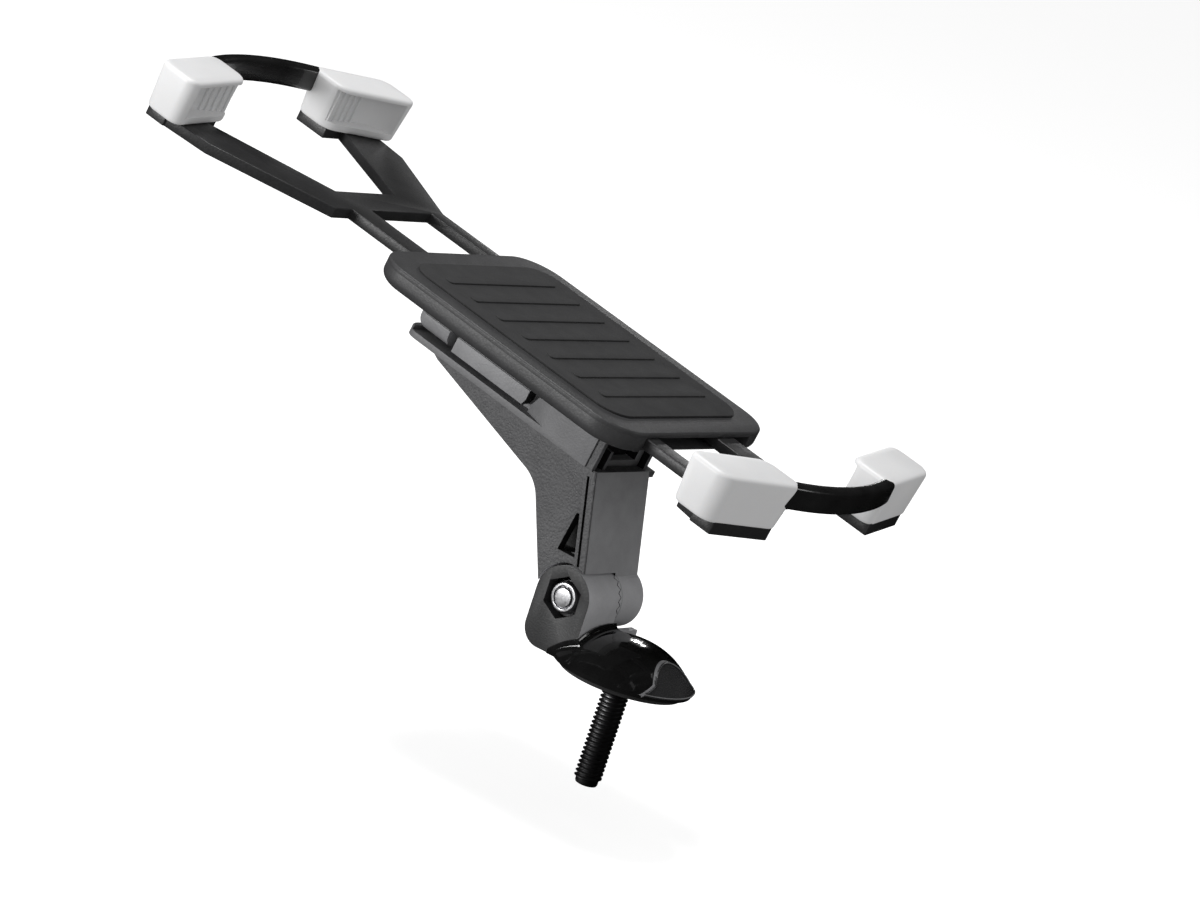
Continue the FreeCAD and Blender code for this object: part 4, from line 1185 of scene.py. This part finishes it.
@dataclass
class Studio:
    """Floor, lights and camera."""

    camera_place: tuple[float, float, float] = (-0.83457, -0.47901, 0.24999)
    look: tuple[float, float, float] = (0.83831, 0.50351, -0.20907)
    right: tuple[float, float, float] = (0.54511, -0.7809, 0.30505)
    lens: float = 141.8
    floor_drop: float = 0.034
    aim: tuple[float, float, float] = (0, 0.04, 0.04)
    crown: tuple[float, float, float] = (-0.001, -0.0015, 0.008)
    spark_away: float = 0.8

    def build(self) -> None:
        """Make the floor, the lights and the camera."""
        self.floor()
        self.lights()
        self.camera()

    def floor(self) -> None:
        """A plain pale floor under the object."""
        Bench.clear()
        bpy.ops.mesh.primitive_plane_add(size=40, location=(0, 0, -self.floor_drop))
        floor = bpy.context.object
        floor.name = "studio_floor"
        graph = NodeGraph("studio_floor")
        graph.shader.inputs["Base Color"].default_value = (0.8, 0.8, 0.8, 1)
        graph.shader.inputs["Emission Color"].default_value = (1, 1, 1, 1)
        graph.shader.inputs["Emission Strength"].default_value = 0.61
        graph.shader.inputs["Roughness"].default_value = 0.9
        graph.shader.inputs["Specular IOR Level"].default_value = 0.1
        floor.data.materials.append(graph.material)
        floor.visible_glossy = False
        floor.visible_diffuse = False

    def area(self, name: str, place: Sequence[float], aim: Sequence[float], size: float,
             power: float) -> None:
        """Add a square softbox.

        Args:
            name: the light's name.
            place: its centre.
            aim: the point it faces.
            size: its side in metres.
            power: watts.
        """
        data = bpy.data.lights.new(name, "AREA")
        data.shape = "SQUARE"
        data.size = size
        data.energy = power
        light = bpy.data.objects.new(name, data)
        light.location = place
        light.rotation_mode = "QUATERNION"
        light.rotation_quaternion = (Vector(aim) - Vector(place)).to_track_quat("-Z", "Y")
        bpy.context.scene.collection.objects.link(light)

    def lights(self) -> None:
        """Softboxes above, beside and behind, under a pale sky that gloss doesn't mirror."""
        centre = self.aim
        self.area("key_softbox", (-0.1, 0.25, 1.0), centre, 0.22, 5.2)
        self.area("side_softbox", (-0.95, 0.55, 0.15), centre, 0.4, 7)
        self.area("rider_softbox", (0.5, -0.95, 0.35), centre, 0.3, 0.7)
        crown = Vector(self.crown)
        for index, way in enumerate(((0.838, 0.469, 0.278), (0.830, 0.430, 0.356))):
            self.area(f"crown_spark_{index}", crown + self.spark_away * Vector(way), crown, 0.014, 0.07)
        world = bpy.data.worlds.new("studio_sky")
        world.use_nodes = True
        background = world.node_tree.nodes["Background"]
        background.inputs["Color"].default_value = (1, 1, 1, 1)
        background.inputs["Strength"].default_value = 0.42
        bpy.context.scene.world = world
        world.cycles_visibility.glossy = False
        bpy.context.scene.view_settings.view_transform = "Standard"

    def camera(self) -> None:
        """The camera, rolled so that the steerer leans as on a parked bicycle."""
        data = bpy.data.cameras.new("camera")
        data.lens = self.lens
        data.sensor_width = 36.0
        data.clip_start = 0.01
        data.clip_end = 100
        camera = bpy.data.objects.new("camera", data)
        look = Vector(self.look).normalized()
        side = Vector(self.right)
        side = (side - look * side.dot(look)).normalized()
        up = side.cross(look)
        turn = Matrix((side, up, -look)).transposed().to_4x4()
        camera.matrix_world = Matrix.Translation(self.camera_place) @ turn
        bpy.context.scene.collection.objects.link(camera)
        bpy.context.scene.camera = camera


def main() -> None:
    """Build each sub-assembly, then the studio."""
    logging.basicConfig(level=logging.INFO, format="%(name)s: %(message)s")
    shared = (Paintbox(), DockAxes.from_frame(), HingeAxis.from_frame())
    Cap(*shared, Body.CAP).build()
    Arm(*shared, Body.ARM).build()
    Cradle(*shared, Body.CRADLE).build()
    Lever(*shared, Body.LEVER).build()
    Gear(*shared, Body.GEAR).build()
    mould = GripMould()
    boot = mould.cast()
    Jaw(*shared, Body.FRONT, mould, "front").build(boot)
    Jaw(*shared, Body.REAR, mould, "rear").build(boot)
    bpy.data.objects.remove(boot, do_unlink=True)
    Studio().build()


if __name__ == "__main__":
    main()
